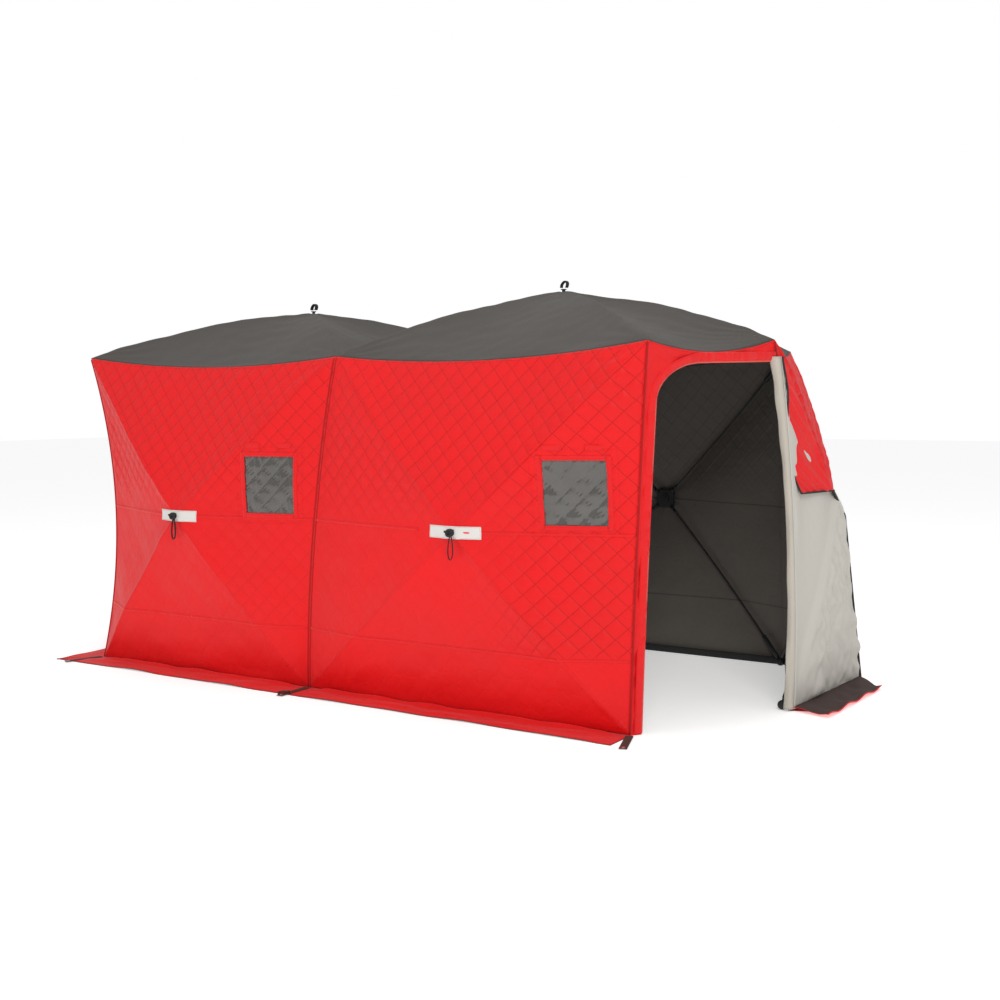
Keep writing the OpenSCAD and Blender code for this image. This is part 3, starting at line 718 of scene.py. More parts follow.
MATERIALS = {
    "wall_cloth": red_cloth,
    "plain_red_cloth": red_plain,
    "shaded_wall_lining": shaded_wall_lining,
    "door_lining": door_lining,
    "roof_cloth": lambda n: plain_cloth(n, colours().roof, 0.06, crumple=0.0008, roughness=0.72,
                                        wave_scale=12.0),
    # partly painted shade: the corner piping is darker than the wall red, partly its own darker red and
    # partly shade along the seams painted in
    "piping_dark_red_and_seam_shade": lambda n: plain_cloth(n, (0.40, 0.003, 0.004), 0.05, roughness=0.7),
    "pale_binding": lambda n: plain_cloth(n, (0.80, 0.10, 0.07), 0.1, roughness=0.6),
    "door_lining_plain": lambda n: plain_cloth(n, colours().door_lining, 0.08, crumple=0.0014, roughness=0.7),
    "skirt_lining": lambda n: plain_cloth(n, (0.045, 0.030, 0.024), 0.1, crumple=0.002),
    "reflective": lambda n: plain_cloth(n, colours().reflective, 0.0, 1500.0, 0.0005, 0.38),
    "webbing": lambda n: webbing_cloth(n, colours().webbing),
    "brown_webbing": lambda n: webbing_cloth(n, (0.055, 0.032, 0.024)),
    "hub_plastic": lambda n: moulded(n, (0.010, 0.010, 0.010)),
    "rubber": lambda n: moulded(n, (0.012, 0.012, 0.012), 0.65, 0.0004),
    "pole_fibre": lambda n: moulded(n, (0.011, 0.011, 0.011), 0.35, 0.0001),
    "steel": lambda n: bare_metal(n, (0.62, 0.61, 0.60)),
    "zip_teeth": lambda n: moulded(n, (0.008, 0.008, 0.008), 0.4, 0.0001),
    "thread": lambda n: plain_cloth(n, (0.45, 0.008, 0.008), 0.1, roughness=0.7),
    "clear_sheet": clear_sheet,
}


# ---- Walls ------------------------------------------------------------------

ALONG_STEPS = 92
OUT_STEPS = 58
HUB_HOLE = 0.02


def bow_share(t):
    """Poles bow the seams, and the cloth between them follows less."""
    return 0.35 + 0.65 * (2 * t - 1) ** 2


def gore_loop(curves, hub, out, bow, steps, out_steps):
    """The cloth round a hub: one gore for each edge curve, in one closed loop.
    Returns its points and each point's share along its gore and out from the hub."""
    t = np.arange(steps) / steps
    edge = np.concatenate([curve(t) for curve in curves])
    t = np.tile(t, len(curves))
    v = np.linspace(HUB_HOLE, 1, out_steps + 1)
    points = hub + (edge[:, None] - hub) * v[None, :, None]
    points = points + out * (bow * bow_share(t)[:, None] * bump(v)[None, :])[..., None]
    shape = points.shape[:2]
    return points, np.broadcast_to(t[:, None], shape), np.broadcast_to(v[None], shape)


def fan(place, centre, seed, reach, height, folds):
    """Folds that spread from a point under pull, such as a pole's end."""
    d = place - centre
    r = np.hypot(d[..., 0], d[..., 1])
    angle = np.arctan2(d[..., 1], d[..., 0])
    wobble = 1.2 * ripples(place, 0.45, seed, 6)
    fade = np.exp(-r / reach) * (1 - np.exp(-r / 0.04))
    return height * fade * np.sin(folds * angle + wobble + seed)


def pucker(place, centre, half, seed, height):
    """Short creases square to the border of a sewn-in window."""
    d = np.abs(place - centre) - half
    away = np.maximum(d[..., 0], d[..., 1])
    run = np.where(d[..., 0] > d[..., 1], place[..., 1], place[..., 0])
    waves = np.sin(run * 2 * math.pi / 0.047 + 2.2 * ripples(place, 0.16, seed, 8))
    return height * waves * np.exp(-np.maximum(away, 0) / 0.055) * ramp(away, -0.02, 0.03)


def diamonds(place, cell, slope=1.0):
    a = np.abs(np.sin(math.pi * (place[..., 0] + slope * place[..., 1]) / cell))
    b = np.abs(np.sin(math.pi * (place[..., 0] - slope * place[..., 1]) / cell))
    return np.minimum(a, b) ** 0.6


def quilt_weight(run, height, width, full):
    """Where the sewn diamonds stand out: above the hub, and towards the wall's right end."""
    upper = ramp(height / EAVE, 0.50, 0.66)
    right = ramp(run / width, 0.52, 0.74) * full
    low = ramp(height, 0.33, 0.37)
    return np.clip(0.16 + 0.84 * np.maximum(upper, right * low), 0, 1)


def window_place(name):
    """A window's centre on its wall, and the way along its gore."""
    _, b, into = WALLS[name][:3]
    hub = wall_tip(name)
    edge = CORNERS[b].along(0.67)
    centre = hub + (edge - hub) * 0.67 - into * sizes().wall_bow * bump(0.67) * bow_share(0.67)
    along = flat_unit(CORNERS[b].top - hub)
    return centre, along


def wall_piece(name, seed):
    a, b, into, into_a, into_b, has_window = WALLS[name]
    s = sizes()
    hub = wall_tip(name)
    left, right = CORNERS[a], CORNERS[b]
    curves = [lambda t: eave_line(a, b, t), lambda t: right.along(1 - t),
              lambda t: ground_line(b, a, t), lambda t: left.along(t)]
    outer, t, v = gore_loop(curves, hub, -into, s.wall_bow, ALONG_STEPS, OUT_STEPS)
    way = flat_unit(right.top - left.top)
    run = (outer - left.top) @ way
    width = np.linalg.norm(right.top - left.top)
    place = np.stack([run, outer[..., 2]], -1)
    weight = quilt_weight(run, outer[..., 2], width, 1.0 if name in ("front_right", "back_left") else 0.35)
    inside_edge = ramp(1 - v, 0.0, 0.07) * ramp(v, 0.02, 0.08)
    relief = 0.0045 * ripples(place, 0.75, seed) + 0.0012 * ripples(place, 0.17, seed + 1)
    relief = relief + fan(place, vec(width, right.top[2]), seed + 2, 0.26, 0.0075, 17)
    relief = relief + fan(place, vec(0, left.top[2]), seed + 3, 0.22, 0.0055, 15)
    relief = relief + fan(place, vec(width / 2, s.hub_height), seed + 4, 0.10, 0.003, 11)
    relief = relief + fan(place, vec(0, 0), seed + 6, 0.2, 0.004,
                          13) + fan(place, vec(width, 0), seed + 7, 0.2, 0.004, 13)
    if has_window:
        centre = window_place(name)[0]
        middle = vec((centre - left.top) @ way, centre[2])
        relief = relief + pucker(place, middle, vec(s.window_w, s.window_h) / 2, seed + 5, 0.0032)
    pillow = (diamonds(place, s.quilt_cell) - 0.5) * 0.0058 * weight
    outer = outer - into * ((relief + pillow) * inside_edge)[..., None]
    inset = np.broadcast_to(into * s.wall_thickness, outer.shape).copy()
    inset[:, -1] = rim_vectors(into, into_a, into_b, ALONG_STEPS)
    inner = outer + inset
    seam = np.minimum(t, 1 - t) * v * np.where((np.arange(len(t)) // ALONG_STEPS) % 2 == 0, width,
                                               EAVE)[:, None]
    seam = np.minimum(seam, (1 - v) * width / 2)
    piece = cloth_shell("wall_" + name, outer, inner, [material("wall_cloth"), material("shaded_wall_lining")],
                        place + seed * 3.7, np.stack([seam, weight], -1), closed=True)
    return piece


def rim_vectors(into, into_a, into_b, steps):
    """A wall's thickness along its four edges, mitred with what it meets."""
    s = sizes()
    top = IN_ROOF * s.roof_thickness
    side_a, side_b = mitre(into, into_a) * s.wall_thickness, mitre(into, into_b) * s.wall_thickness
    plain = into * s.wall_thickness
    rows = []
    for first, rest in ((side_a + top, plain + top), (side_b + top, side_b), (side_b, plain),
                        (side_a, side_a)):
        rows += [first] + [rest] * (steps - 1)
    return np.array(rows)


def cut_window(piece, name):
    """Cuts the window's opening through a finished wall."""
    centre, along = window_place(name)
    half_w, half_h = sizes().window_w / 2, sizes().window_h / 2
    up, side = vec(0, 0, 1), along
    square = np.cross(side, up)
    corners = [centre + side * x * half_w + up * z * half_h + square * y * 0.12
               for x in (-1, 1) for y in (-1, 1) for z in (-1, 1)]
    faces = [(0, 1, 3, 2), (4, 6, 7, 5), (0, 4, 5, 1), (2, 3, 7, 6), (0, 2, 6, 4), (1, 5, 7, 3)]
    cutter = mesh_piece("cutter", corners, faces, [])
    bm = bmesh.new()
    bm.from_mesh(cutter.data)
    bmesh.ops.recalc_face_normals(bm, faces=bm.faces)
    bm.to_mesh(cutter.data)
    bm.free()
    cut = piece.modifiers.new("window", "BOOLEAN")
    cut.operation, cut.solver, cut.object = "DIFFERENCE", "EXACT", cutter
    plain_copy(piece)
    bpy.data.objects.remove(cutter)
    return piece


WALL_SURFACES = {}


LEVEL_SEAMS = (0.335, 0.912)


def level_seams(name):
    """The flat seams sewn level across a wall."""
    a, b, into = WALLS[name][:3]
    pieces = []
    for height in LEVEL_SEAMS:
        left, right = CORNERS[a].along(height / EAVE), CORNERS[b].along(height / EAVE)
        # the strip over the hub covers the middle of the upper seam
        spare = 0.132 / np.linalg.norm(right - left) if height == LEVEL_SEAMS[1] else 0.0
        for first, last in ((0.006, 0.5 - spare), (0.5 + spare, 0.994)):
            line = left + (right - left) * np.linspace(first, last, 60)[:, None]
            line[:, 2] = height
            across = np.broadcast_to(vec(0, 0, 0.0055), line.shape)
            tree = WALL_SURFACES[name]
            pieces.append(band("level_seam", line, across, tree, into, 0.0, 0.0018, "plain_red_cloth", 5))
            STITCH_RUNS.append([dropped(tree, line + vec(0, 0, 0.010), into, 0.0006)])
    return pieces


def corner_piping(corner, out, offsets):
    """The bound edges of the two walls that meet at a corner."""
    t = np.linspace(0.003, 0.995, 90)
    way = flat_unit(np.cross(vec(0, 0, 1), out))
    line = CORNERS[corner].along(t) + out * 0.0005
    # the piping's darker red is partly painted shade along the corner seams
    return [tube_piece("piping", line + way * offset, 0.0046, material("piping_dark_red_and_seam_shade"),
                       8) for offset in offsets]


def foot_hem(name):
    """The black tape sewn along the foot of a wall's lining."""
    a, b, into = WALLS[name][:3]
    line = ground_line(a, b, np.linspace(0.02, 0.98, 60)) + into * (sizes().wall_thickness + 0.0035)
    line[:, 2] = 0.022
    return strap_piece("foot_hem", line, np.broadcast_to(vec(0, 0, 0.020), line.shape), 0.004,
                       material("webbing"))


class HUT_OT_walls(bpy.types.Operator):
    """Build the six hub walls and cut their windows"""
    bl_idname = "hut.walls"
    bl_label = "Walls"

    def execute(self, context):
        for number, name in enumerate(WALLS):
            piece = wall_piece(name, 11 + 8 * number)
            WALL_SURFACES[name] = surface_of(piece)
            if WALLS[name][5]:
                cut_window(piece, name)
            finish_piece(piece, "wall_fabric", name + "_wall")
        seams = [seam for name in WALLS for seam in level_seams(name)]
        finish_piece(joined("level_seams", seams), "wall_fabric")
        piping = []
        for corner, way in inside_ways().items():
            offsets = (-0.009, 0.009) if corner.endswith("middle") else (0.0,)
            piping += corner_piping(corner, -unit(way), offsets)
        finish_piece(joined("corner_piping", piping), "wall_fabric")
        finish_piece(joined("inner_foot_hems", [foot_hem(name) for name in WALLS]), "webbing")
        return {"FINISHED"}


# ---- Roofs ------------------------------------------------------------------

ROOFS = {
    "left": (("front_left", "front_middle", IN_FRONT), ("front_middle", "back_middle", None),
             ("back_middle", "back_left", IN_BACK), ("back_left", "front_left", IN_LEFT)),
    "right": (("front_middle", "front_right", IN_FRONT), ("front_right", "post", IN_DOOR),
              ("post", "back_right", IN_PROW), ("back_right", "back_middle", IN_BACK),
              ("back_middle", "front_middle", None)),
}


HUB_TOP = 0.012


def roof_peak(side):
    """The point of a roof, a little below the top of its hub's washer."""
    low, high = box(side + "_roof_hub")
    x, y = (low[:2] + high[:2]) / 2
    return vec(x, y, high[2] - HUB_TOP)


def roof_piece(side, seed):
    s = sizes()
    edges = ROOFS[side]
    peak = roof_peak(side)
    curves = [lambda t, a=a, b=b: eave_line(a, b, t) for a, b, _ in edges]
    steps = 84
    outer, t, v = gore_loop(curves, peak, -IN_ROOF, s.roof_bow, steps, 54)
    place = outer[..., :2]
    relief = 0.005 * ripples(place, 0.7, seed) + 0.0012 * ripples(place, 0.15, seed + 1)
    for k, (a, _, _) in enumerate(edges):
        relief = relief + fan(place, CORNERS[a].top[:2], seed + 3 + k, 0.24, 0.008, 23)
    relief = relief + fan(place, peak[:2], seed + 2, 0.1, 0.003, 14)
    outer = outer + vec(0, 0, 1) * (relief * ramp(1 - v, 0, 0.05) * ramp(v, 0.02, 0.08))[..., None]
    inset = np.broadcast_to(IN_ROOF * s.roof_thickness, outer.shape).copy()
    rims = []
    for k, (a, b, into) in enumerate(edges):
        before = edges[k - 1][2]
        plain = vec(0, 0, 0) if into is None else into * s.wall_thickness
        joint = plain
        if before is not None and into is not None:
            joint = mitre(before, into) * s.wall_thickness
        elif into is None and before is not None:
            joint = before * s.wall_thickness
        rims += [joint] + [plain] * (steps - 1)
    inset[:, -1] += np.array(rims)
    widths = np.array([np.linalg.norm(CORNERS[a].top - CORNERS[b].top) for a, b, _ in edges])
    seam = np.minimum(t, 1 - t) * v * np.repeat(widths, steps)[:, None]
    return cloth_shell(side + "_roof_cloth", outer, outer + inset,
                       [material("roof_cloth"), material("shaded_wall_lining")],
                       place + seed * 2.3, np.stack([seam, np.zeros_like(seam)], -1), closed=True)


class HUT_OT_roofs(bpy.types.Operator):
    """Build the two peaked roofs"""
    bl_idname = "hut.roofs"
    bl_label = "Roofs"

    def execute(self, context):
        for number, side in enumerate(ROOFS):
            piece = roof_piece(side, 61 + 12 * number)
            finish_piece(piece, "roof_fabric", side + "_roof")
        return {"FINISHED"}


# ---- Windows ----------------------------------------------------------------

BINDING = 0.024


def window_grid(name, half_w, half_h, steps_w, steps_h):
    centre, along = window_place(name)
    x = np.linspace(-half_w, half_w, steps_w)
    z = np.linspace(-half_h, half_h, steps_h)
    x, z = np.meshgrid(x, z, indexing="ij")
    points = centre + along * x[..., None] + vec(0, 0, 1) * z[..., None]
    return points, x, z


def pane_piece(name, seed):
    into = WALLS[name][2]
    half_w, half_h = sizes().window_w / 2 - 0.0005, sizes().window_h / 2 - 0.0005
    points, x, z = window_grid(name, half_w, half_h, 80, 80)
    points = dropped(WALL_SURFACES[name], points, into, -0.0045)
    place = np.stack([x, z], -1)
    lean = place @ unit(vec(1.0, 0.32))
    drift = ripples(place * vec(1, 0.35), 0.16, seed, 8)
    folds = np.sin(lean * 2 * math.pi / 0.070 + 1.5 * drift)
    share = np.clip(0.55 + 0.6 * ripples(place * vec(1, 0.5), 0.22, seed + 1, 6), 0, 1)
    border = ramp(np.minimum(half_w - np.abs(x), half_h - np.abs(z)), 0.0, 0.03)
    depth = (0.0030 * np.abs(folds) ** 2.5 * np.sign(folds) * share
             + 0.0008 * ripples(place * vec(1, 0.3), 0.09, seed + 2, 6))
    points = points - into * (depth * border)[..., None]
    return cloth_shell(name + "_window_pane", points, points + into * 0.001, [material("clear_sheet")], place)


def band(name, centre_line, across, tree, into, lift, thickness, cloth, steps=4):
    """A flat sewn band that follows a wall's surface."""
    share = np.linspace(-1, 1, steps)
    points = centre_line[:, None] + across[:, None] * share[None, :, None]
    base = dropped(tree, points, into, 0.0004)
    crown = (1 - 0.75 * share ** 6)[None, :, None]
    outer = base - into * (lift + thickness * crown)
    run = np.concatenate([[0], np.cumsum(np.linalg.norm(np.diff(centre_line, axis=0), axis=1))])
    half = np.linalg.norm(across, axis=1)
    uv = np.stack([share[None] * half[:, None], np.broadcast_to(run[:, None], (len(run), steps))], -1)
    return cloth_shell(name, outer, base - into * lift, [material(cloth)], uv, np.zeros_like(uv))


def window_frame(name):
    """The binding sewn round the pane and the two tabs above it."""
    centre, along = window_place(name)
    into, tree = WALLS[name][2], WALL_SURFACES[name]
    half_w, half_h = sizes().window_w / 2, sizes().window_h / 2
    up = vec(0, 0, 1)
    pieces = []
    reach = BINDING / 2 - 0.006
    for way, side, half, across_half in ((along, up, half_w, half_h), (up, along, half_h, half_w)):
        for sign in (-1, 1):
            k = np.linspace(-1, 1, 34)
            stretch = half + reach + (BINDING / 2 if way is up else -BINDING / 2)
            line = centre + side * sign * (across_half + reach) + way[None] * (k * stretch)[:, None]
            across = np.broadcast_to(side * BINDING / 2, line.shape)
            pieces.append(band("binding", line, across, tree, into, 0.0, 0.0036, "plain_red_cloth", 7))
    for sign in (-1, 1):
        k = np.linspace(-1, 1, 14)
        line = (centre + along * (sign * half_w * 0.62)
                + up * (half_h + 0.052) + along[None] * (k * 0.04)[:, None])
        across = np.broadcast_to(up * 0.014, line.shape)
        pieces.append(band("tab", line, across, tree, into, 0.0, 0.0034, "plain_red_cloth", 6))
    return joined(name + "_window_binding", pieces)


def rectangle_line(centre, along, half_w, half_h, count=36):
    """Points round a rectangle on a wall."""
    up = vec(0, 0, 1)
    corners = [(-1, -1), (1, -1), (1, 1), (-1, 1), (-1, -1)]
    line = []
    for (x0, z0), (x1, z1) in zip(corners, corners[1:]):
        for k in np.arange(count) / count:
            x, z = x0 + (x1 - x0) * k, z0 + (z1 - z0) * k
            line.append(centre + along * x * half_w + up * z * half_h)
    line.append(line[0])
    return np.array(line)


class HUT_OT_windows(bpy.types.Operator):
    """Build the clear panes, their bindings and tabs"""
    bl_idname = "hut.windows"
    bl_label = "Windows"

    def execute(self, context):
        for number, name in enumerate(w for w in WALLS if WALLS[w][5]):
            pane = finish_piece(pane_piece(name, 201 + 7 * number), "clear_vinyl", name + "_window")
            finish_piece(window_frame(name), "wall_fabric")
            STITCH_RUNS.append(window_stitches(name))
        return {"FINISHED"}


def window_stitches(name):
    centre, along = window_place(name)
    into, tree = WALLS[name][2], WALL_SURFACES[name]
    half_w, half_h = sizes().window_w / 2, sizes().window_h / 2
    runs = []
    for grow, lift in ((0.004, 0.0040), (0.046, 0.0006)):
        line = rectangle_line(centre, along, half_w + grow, half_h + grow)
        runs.append(dropped(tree, line, into, lift))
    return runs


# ---- Stitches and zips, by geometry nodes -----------------------------------

STITCH_RUNS = []


def repeat_tree(name, pitch, shape):
    """Places one small shape along every line of a mesh, evenly and turned to follow it."""
    tree = bpy.data.node_groups.new(name, "GeometryNodeTree")
    tree.interface.new_socket("Geometry", in_out="INPUT", socket_type="NodeSocketGeometry")
    for label, value in (("Pitch", pitch), ("Length", shape[0]), ("Width", shape[1]), ("Height", shape[2])):
        tree.interface.new_socket(label, in_out="INPUT", socket_type="NodeSocketFloat").default_value = value
    tree.interface.new_socket("Material", in_out="INPUT", socket_type="NodeSocketMaterial")
    tree.interface.new_socket("Geometry", in_out="OUTPUT", socket_type="NodeSocketGeometry")
    n = Nodes(tree)
    source, sink = n.add("NodeGroupInput").outputs, n.add("NodeGroupOutput").inputs
    curve = n.add("GeometryNodeMeshToCurve")
    n.link(source["Geometry"], curve.inputs["Mesh"])
    resample = n.add("GeometryNodeResampleCurve", mode="LENGTH")
    n.link(curve.outputs[0], resample.inputs["Curve"])
    n.link(source["Pitch"], resample.inputs["Length"])
    ball = n.add("GeometryNodeMeshUVSphere")
    ball.inputs["Segments"].default_value = 6
    ball.inputs["Rings"].default_value = 4
    ball.inputs["Radius"].default_value = 0.5
    size = n.add("ShaderNodeCombineXYZ")
    for socket, label in zip(size.inputs, ("Length", "Width", "Height")):
        n.link(source[label], socket)
    squash = n.add("GeometryNodeTransform")
    n.link(ball.outputs["Mesh"], squash.inputs["Geometry"])
    n.link(size.outputs[0], squash.inputs["Scale"])
    tangent = n.add("GeometryNodeInputTangent")
    align = n.add("FunctionNodeAlignRotationToVector", axis="X")
    n.link(tangent.outputs[0], align.inputs["Vector"])
    place = n.add("GeometryNodeInstanceOnPoints")
    n.link(resample.outputs[0], place.inputs["Points"])
    n.link(squash.outputs[0], place.inputs["Instance"])
    n.link(align.outputs[0], place.inputs["Rotation"])
    real = n.add("GeometryNodeRealizeInstances")
    n.link(place.outputs[0], real.inputs[0])
    paint = n.add("GeometryNodeSetMaterial")
    n.link(real.outputs[0], paint.inputs["Geometry"])
    n.link(source["Material"], paint.inputs["Material"])
    n.link(paint.outputs[0], sink["Geometry"])
    return tree


def repeat_along(name, runs, pitch, shape, cloth):
    """A piece made of small shapes along the given lines."""
    points, edges = [], []
    for run in runs:
        start = len(points)
        points += [tuple(p) for p in run]
        edges += [(start + k, start + k + 1) for k in range(len(run) - 1)]
    mesh = bpy.data.meshes.new(name)
    mesh.from_pydata(points, edges, [])
    piece = bpy.data.objects.new(name, mesh)
    bpy.context.collection.objects.link(piece)
    tree = repeat_tree(name, pitch, shape)
    modifier = piece.modifiers.new("repeat", "NODES")
    modifier.node_group = tree
    for item in tree.interface.items_tree:
        if item.item_type == "SOCKET" and item.name == "Material":
            modifier[item.identifier] = material(cloth)
    return plain_copy(piece)


class HUT_OT_stitches(bpy.types.Operator):
    """Sew the stitches gathered from every piece"""
    bl_idname = "hut.stitches"
    bl_label = "Stitches"

    def execute(self, context):
        runs = [run for group in STITCH_RUNS for run in group]
        piece = repeat_along("stitches", runs, sizes().stitch_pitch, (0.0042, 0.0011, 0.0009), "thread")
        finish_piece(piece, "wall_fabric")
        return {"FINISHED"}


# ---- Doorway ----------------------------------------------------------------

ROUND_W, ROUND_H = 0.30, 0.18


def doorway_lines():
    """The outer edge of the band round the doorway, and the edge of the opening."""
    s = sizes()
    side = CORNERS["front_right"]
    way = flat_unit(CORNERS["post"].foot - side.foot)
    width = np.linalg.norm(CORNERS["post"].top - side.top)
    foot = (EAVE - s.header_band - ROUND_H) / EAVE
    end = (s.door_band + ROUND_W) / width
    up = np.linspace(0, foot, 70)
    turn = np.linspace(0, 1, 37)[1:]
    over = np.linspace(end, 1, 40)[1:]
    jamb = side.along(up) + way * s.door_band
    post_top = CORNERS["post"].top
    header = lambda t: side.top + (post_top - side.top) * np.asarray(t)[..., None] - vec(0, 0, s.header_band)
    head_start = header(end)
    a = turn * math.pi / 2
    start = jamb[-1]
    swing = np.stack([1 - np.cos(a), 1 - np.cos(a), np.sin(a)], -1)
    inside = np.concatenate([jamb, start + (head_start - start) * swing, header(over)])
    first = side.along(foot + (1 - foot) * np.minimum(2 * turn, 1))
    second = eave_line("front_right", "post", end * np.maximum(2 * turn - 1, 0))
    outside = np.concatenate([side.along(up), np.where((turn <= 0.5)[:, None], first, second),
                              eave_line("front_right", "post", over)])
    return outside, inside


def doorway_band():
    s = sizes()
    outside, inside = doorway_lines()
    share = np.linspace(0, 1, 22)
    outer = outside[:, None] + (inside - outside)[:, None] * share[None, :, None]
    run = np.concatenate([[0], np.cumsum(np.linalg.norm(np.diff(inside, axis=0), axis=1))])
    wide = np.linalg.norm(inside - outside, axis=1)
    place = np.stack([np.broadcast_to(run[:, None], outer.shape[:2]), share[None] * wide[:, None]], -1)
    inside_edge = ramp(share, 0, 0.15)[None]
    relief = 0.0022 * ripples(place * vec(1, 0.35), 0.11, 301) + 0.0035 * ripples(place, 0.4, 302)
    outer = outer - IN_DOOR * (relief * inside_edge)[..., None]
    inner = outer + IN_DOOR * s.wall_thickness
    knee = 70 + 18
    side_rim = mitre(IN_FRONT, IN_DOOR) * s.wall_thickness
    inner[:knee, 0] = outer[:knee, 0] + side_rim
    inner[knee:, 0] = outer[knee:, 0] + IN_DOOR * s.wall_thickness + IN_ROOF * s.roof_thickness
    weight = np.full(outer.shape[:2], 0.25)
    seam = np.minimum(place[..., 1], wide[:, None] - place[..., 1])
    return cloth_shell("doorway_band", outer, inner, [material("wall_cloth"), material("shaded_wall_lining")],
                       place + 90, np.stack([seam, weight], -1))


def edge_band(name, line, across, out, thickness, cloth, steps=6, gather=0.0):
    """A sewn band that lies on a free-standing cloth. gather raises short folds across it."""
    share = np.linspace(-1, 1, steps)
    base = line[:, None] + across[:, None] * share[None, :, None]
    crown = (1 - 0.8 * share ** 6)[None, :, None]
    station = np.concatenate([[0], np.cumsum(np.linalg.norm(np.diff(line, axis=0), axis=1))])
    folds = gather * (1 + np.sin(station * 2 * math.pi / 0.052 + 2 * ripples(station[:, None], 0.2, 305, 5)))
    outer = base + out * (0.0005 + (thickness + folds[:, None, None]) * crown)
    run = np.concatenate([[0], np.cumsum(np.linalg.norm(np.diff(line, axis=0), axis=1))])
    half = np.linalg.norm(across, axis=1)
    uv = np.stack([share[None] * half[:, None], np.broadcast_to(run[:, None], (len(run), steps))], -1)
    return cloth_shell(name, outer, base + out * 0.0005, [material(cloth)], uv, np.zeros_like(uv))


class HUT_OT_doorway(bpy.types.Operator):
    """Build the band round the doorway, its facing, binding and zip"""
    bl_idname = "hut.doorway"
    bl_label = "Doorway"

    def execute(self, context):
        band_piece = finish_piece(doorway_band(), "wall_fabric", "door_surround")
        outside, inside = doorway_lines()
        away = (outside - inside) / np.linalg.norm(outside - inside, axis=1)[:, None]
        out = -IN_DOOR
        inside[0, 2] = outside[0, 2] = 0.006
        facing = edge_band("doorway_facing", inside + away * 0.022, away * 0.0215, out, 0.004,
                           "plain_red_cloth", 8, 0.0028)
        finish_piece(facing, "wall_fabric")
        bound = tube_piece("doorway_binding", inside + IN_DOOR * 0.004 - away * 0.001, 0.0052,
                           material("pale_binding"), 10)
        finish_piece(bound, "wall_fabric")
        tape = edge_band("doorway_zip_tape", inside + IN_DOOR * 0.0105 + away * 0.006, away * 0.011, IN_DOOR,
                         0.0012,
                         "webbing")
        finish_piece(tape, "webbing")
        teeth = repeat_along("doorway_zip_teeth", [inside + IN_DOOR * 0.0135 - away * 0.003], 0.0034,
                             (0.0022, 0.005, 0.0026), "zip_teeth")
        finish_piece(teeth, "hub_plastic")
        STITCH_RUNS.append([inside + away * 0.008 + out * 0.0050, inside + away * 0.037 + out * 0.0048])
        return {"FINISHED"}


# ---- Door flap --------------------------------------------------------------

FLAP_SWING, FLAP_LENGTH = 0.056, 0.872
FLAP_LIFT, FLAP_FREE = 0.012, 1.045
# The flap stands 6 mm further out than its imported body, which the wall behind cuts into
FLAP_STAND, FLAP_KNEE, FLAP_BULGE = 0.0183, 0.0293, 0.032
HINGE_TOP = 0.955
FLAP_CLOTH = 0.006
FLAP_WAY = unit(vec(FLAP_SWING, FLAP_LENGTH, 0))
FLAP_OUT = vec(FLAP_WAY[1], -FLAP_WAY[0], 0)
FOLD_WAY, FOLD_EDGE = unit(vec(0.020, 0.085, -0.640)), 0.672


# The cloth turned round the hinge lies on the doorway's side of it
HEM_WAY = vec(-0.84, -0.54, 0)
HEM_OUT = vec(0.54, -0.84, 0)


def blend(a, b, t):
    return a + (b - a) * t


def flap_hinge(v):
    return CORNERS["post"].along(blend(FLAP_LIFT / EAVE, HINGE_TOP, v)) + FLAP_OUT * FLAP_STAND


def flap_corners():
    post = CORNERS["post"].foot
    foot = post + vec(FLAP_SWING, FLAP_LENGTH, FLAP_LIFT) + FLAP_OUT * FLAP_STAND
    top = post + vec(FLAP_SWING * 0.81, FLAP_LENGTH * 0.52, FLAP_LIFT + FLAP_FREE)
    knee = wall_tip("prow") - IN_PROW * FLAP_KNEE
    return foot, knee, top


def flap_free(v):
    """The flap's free edge, which bends where it lies over the wall's hub."""
    foot, knee, top = flap_corners()
    v = np.asarray(v, float)
    at = (knee[2] - FLAP_LIFT) / FLAP_FREE
    t = v[..., None]
    low = foot + (knee - foot) * t / at
    high = knee + (top - knee) * (t - at) / (1 - at)
    return np.where(t < at, low, high)


def flap_points(u, v):
    """The flap's face: u runs from the hinge to the free edge, v from the ground up."""
    hinge, free = flap_hinge(v), flap_free(v)
    points = hinge + (free - hinge) * u[..., None]
    return points + FLAP_OUT * (FLAP_BULGE * bump(u) * bump(v))[..., None]


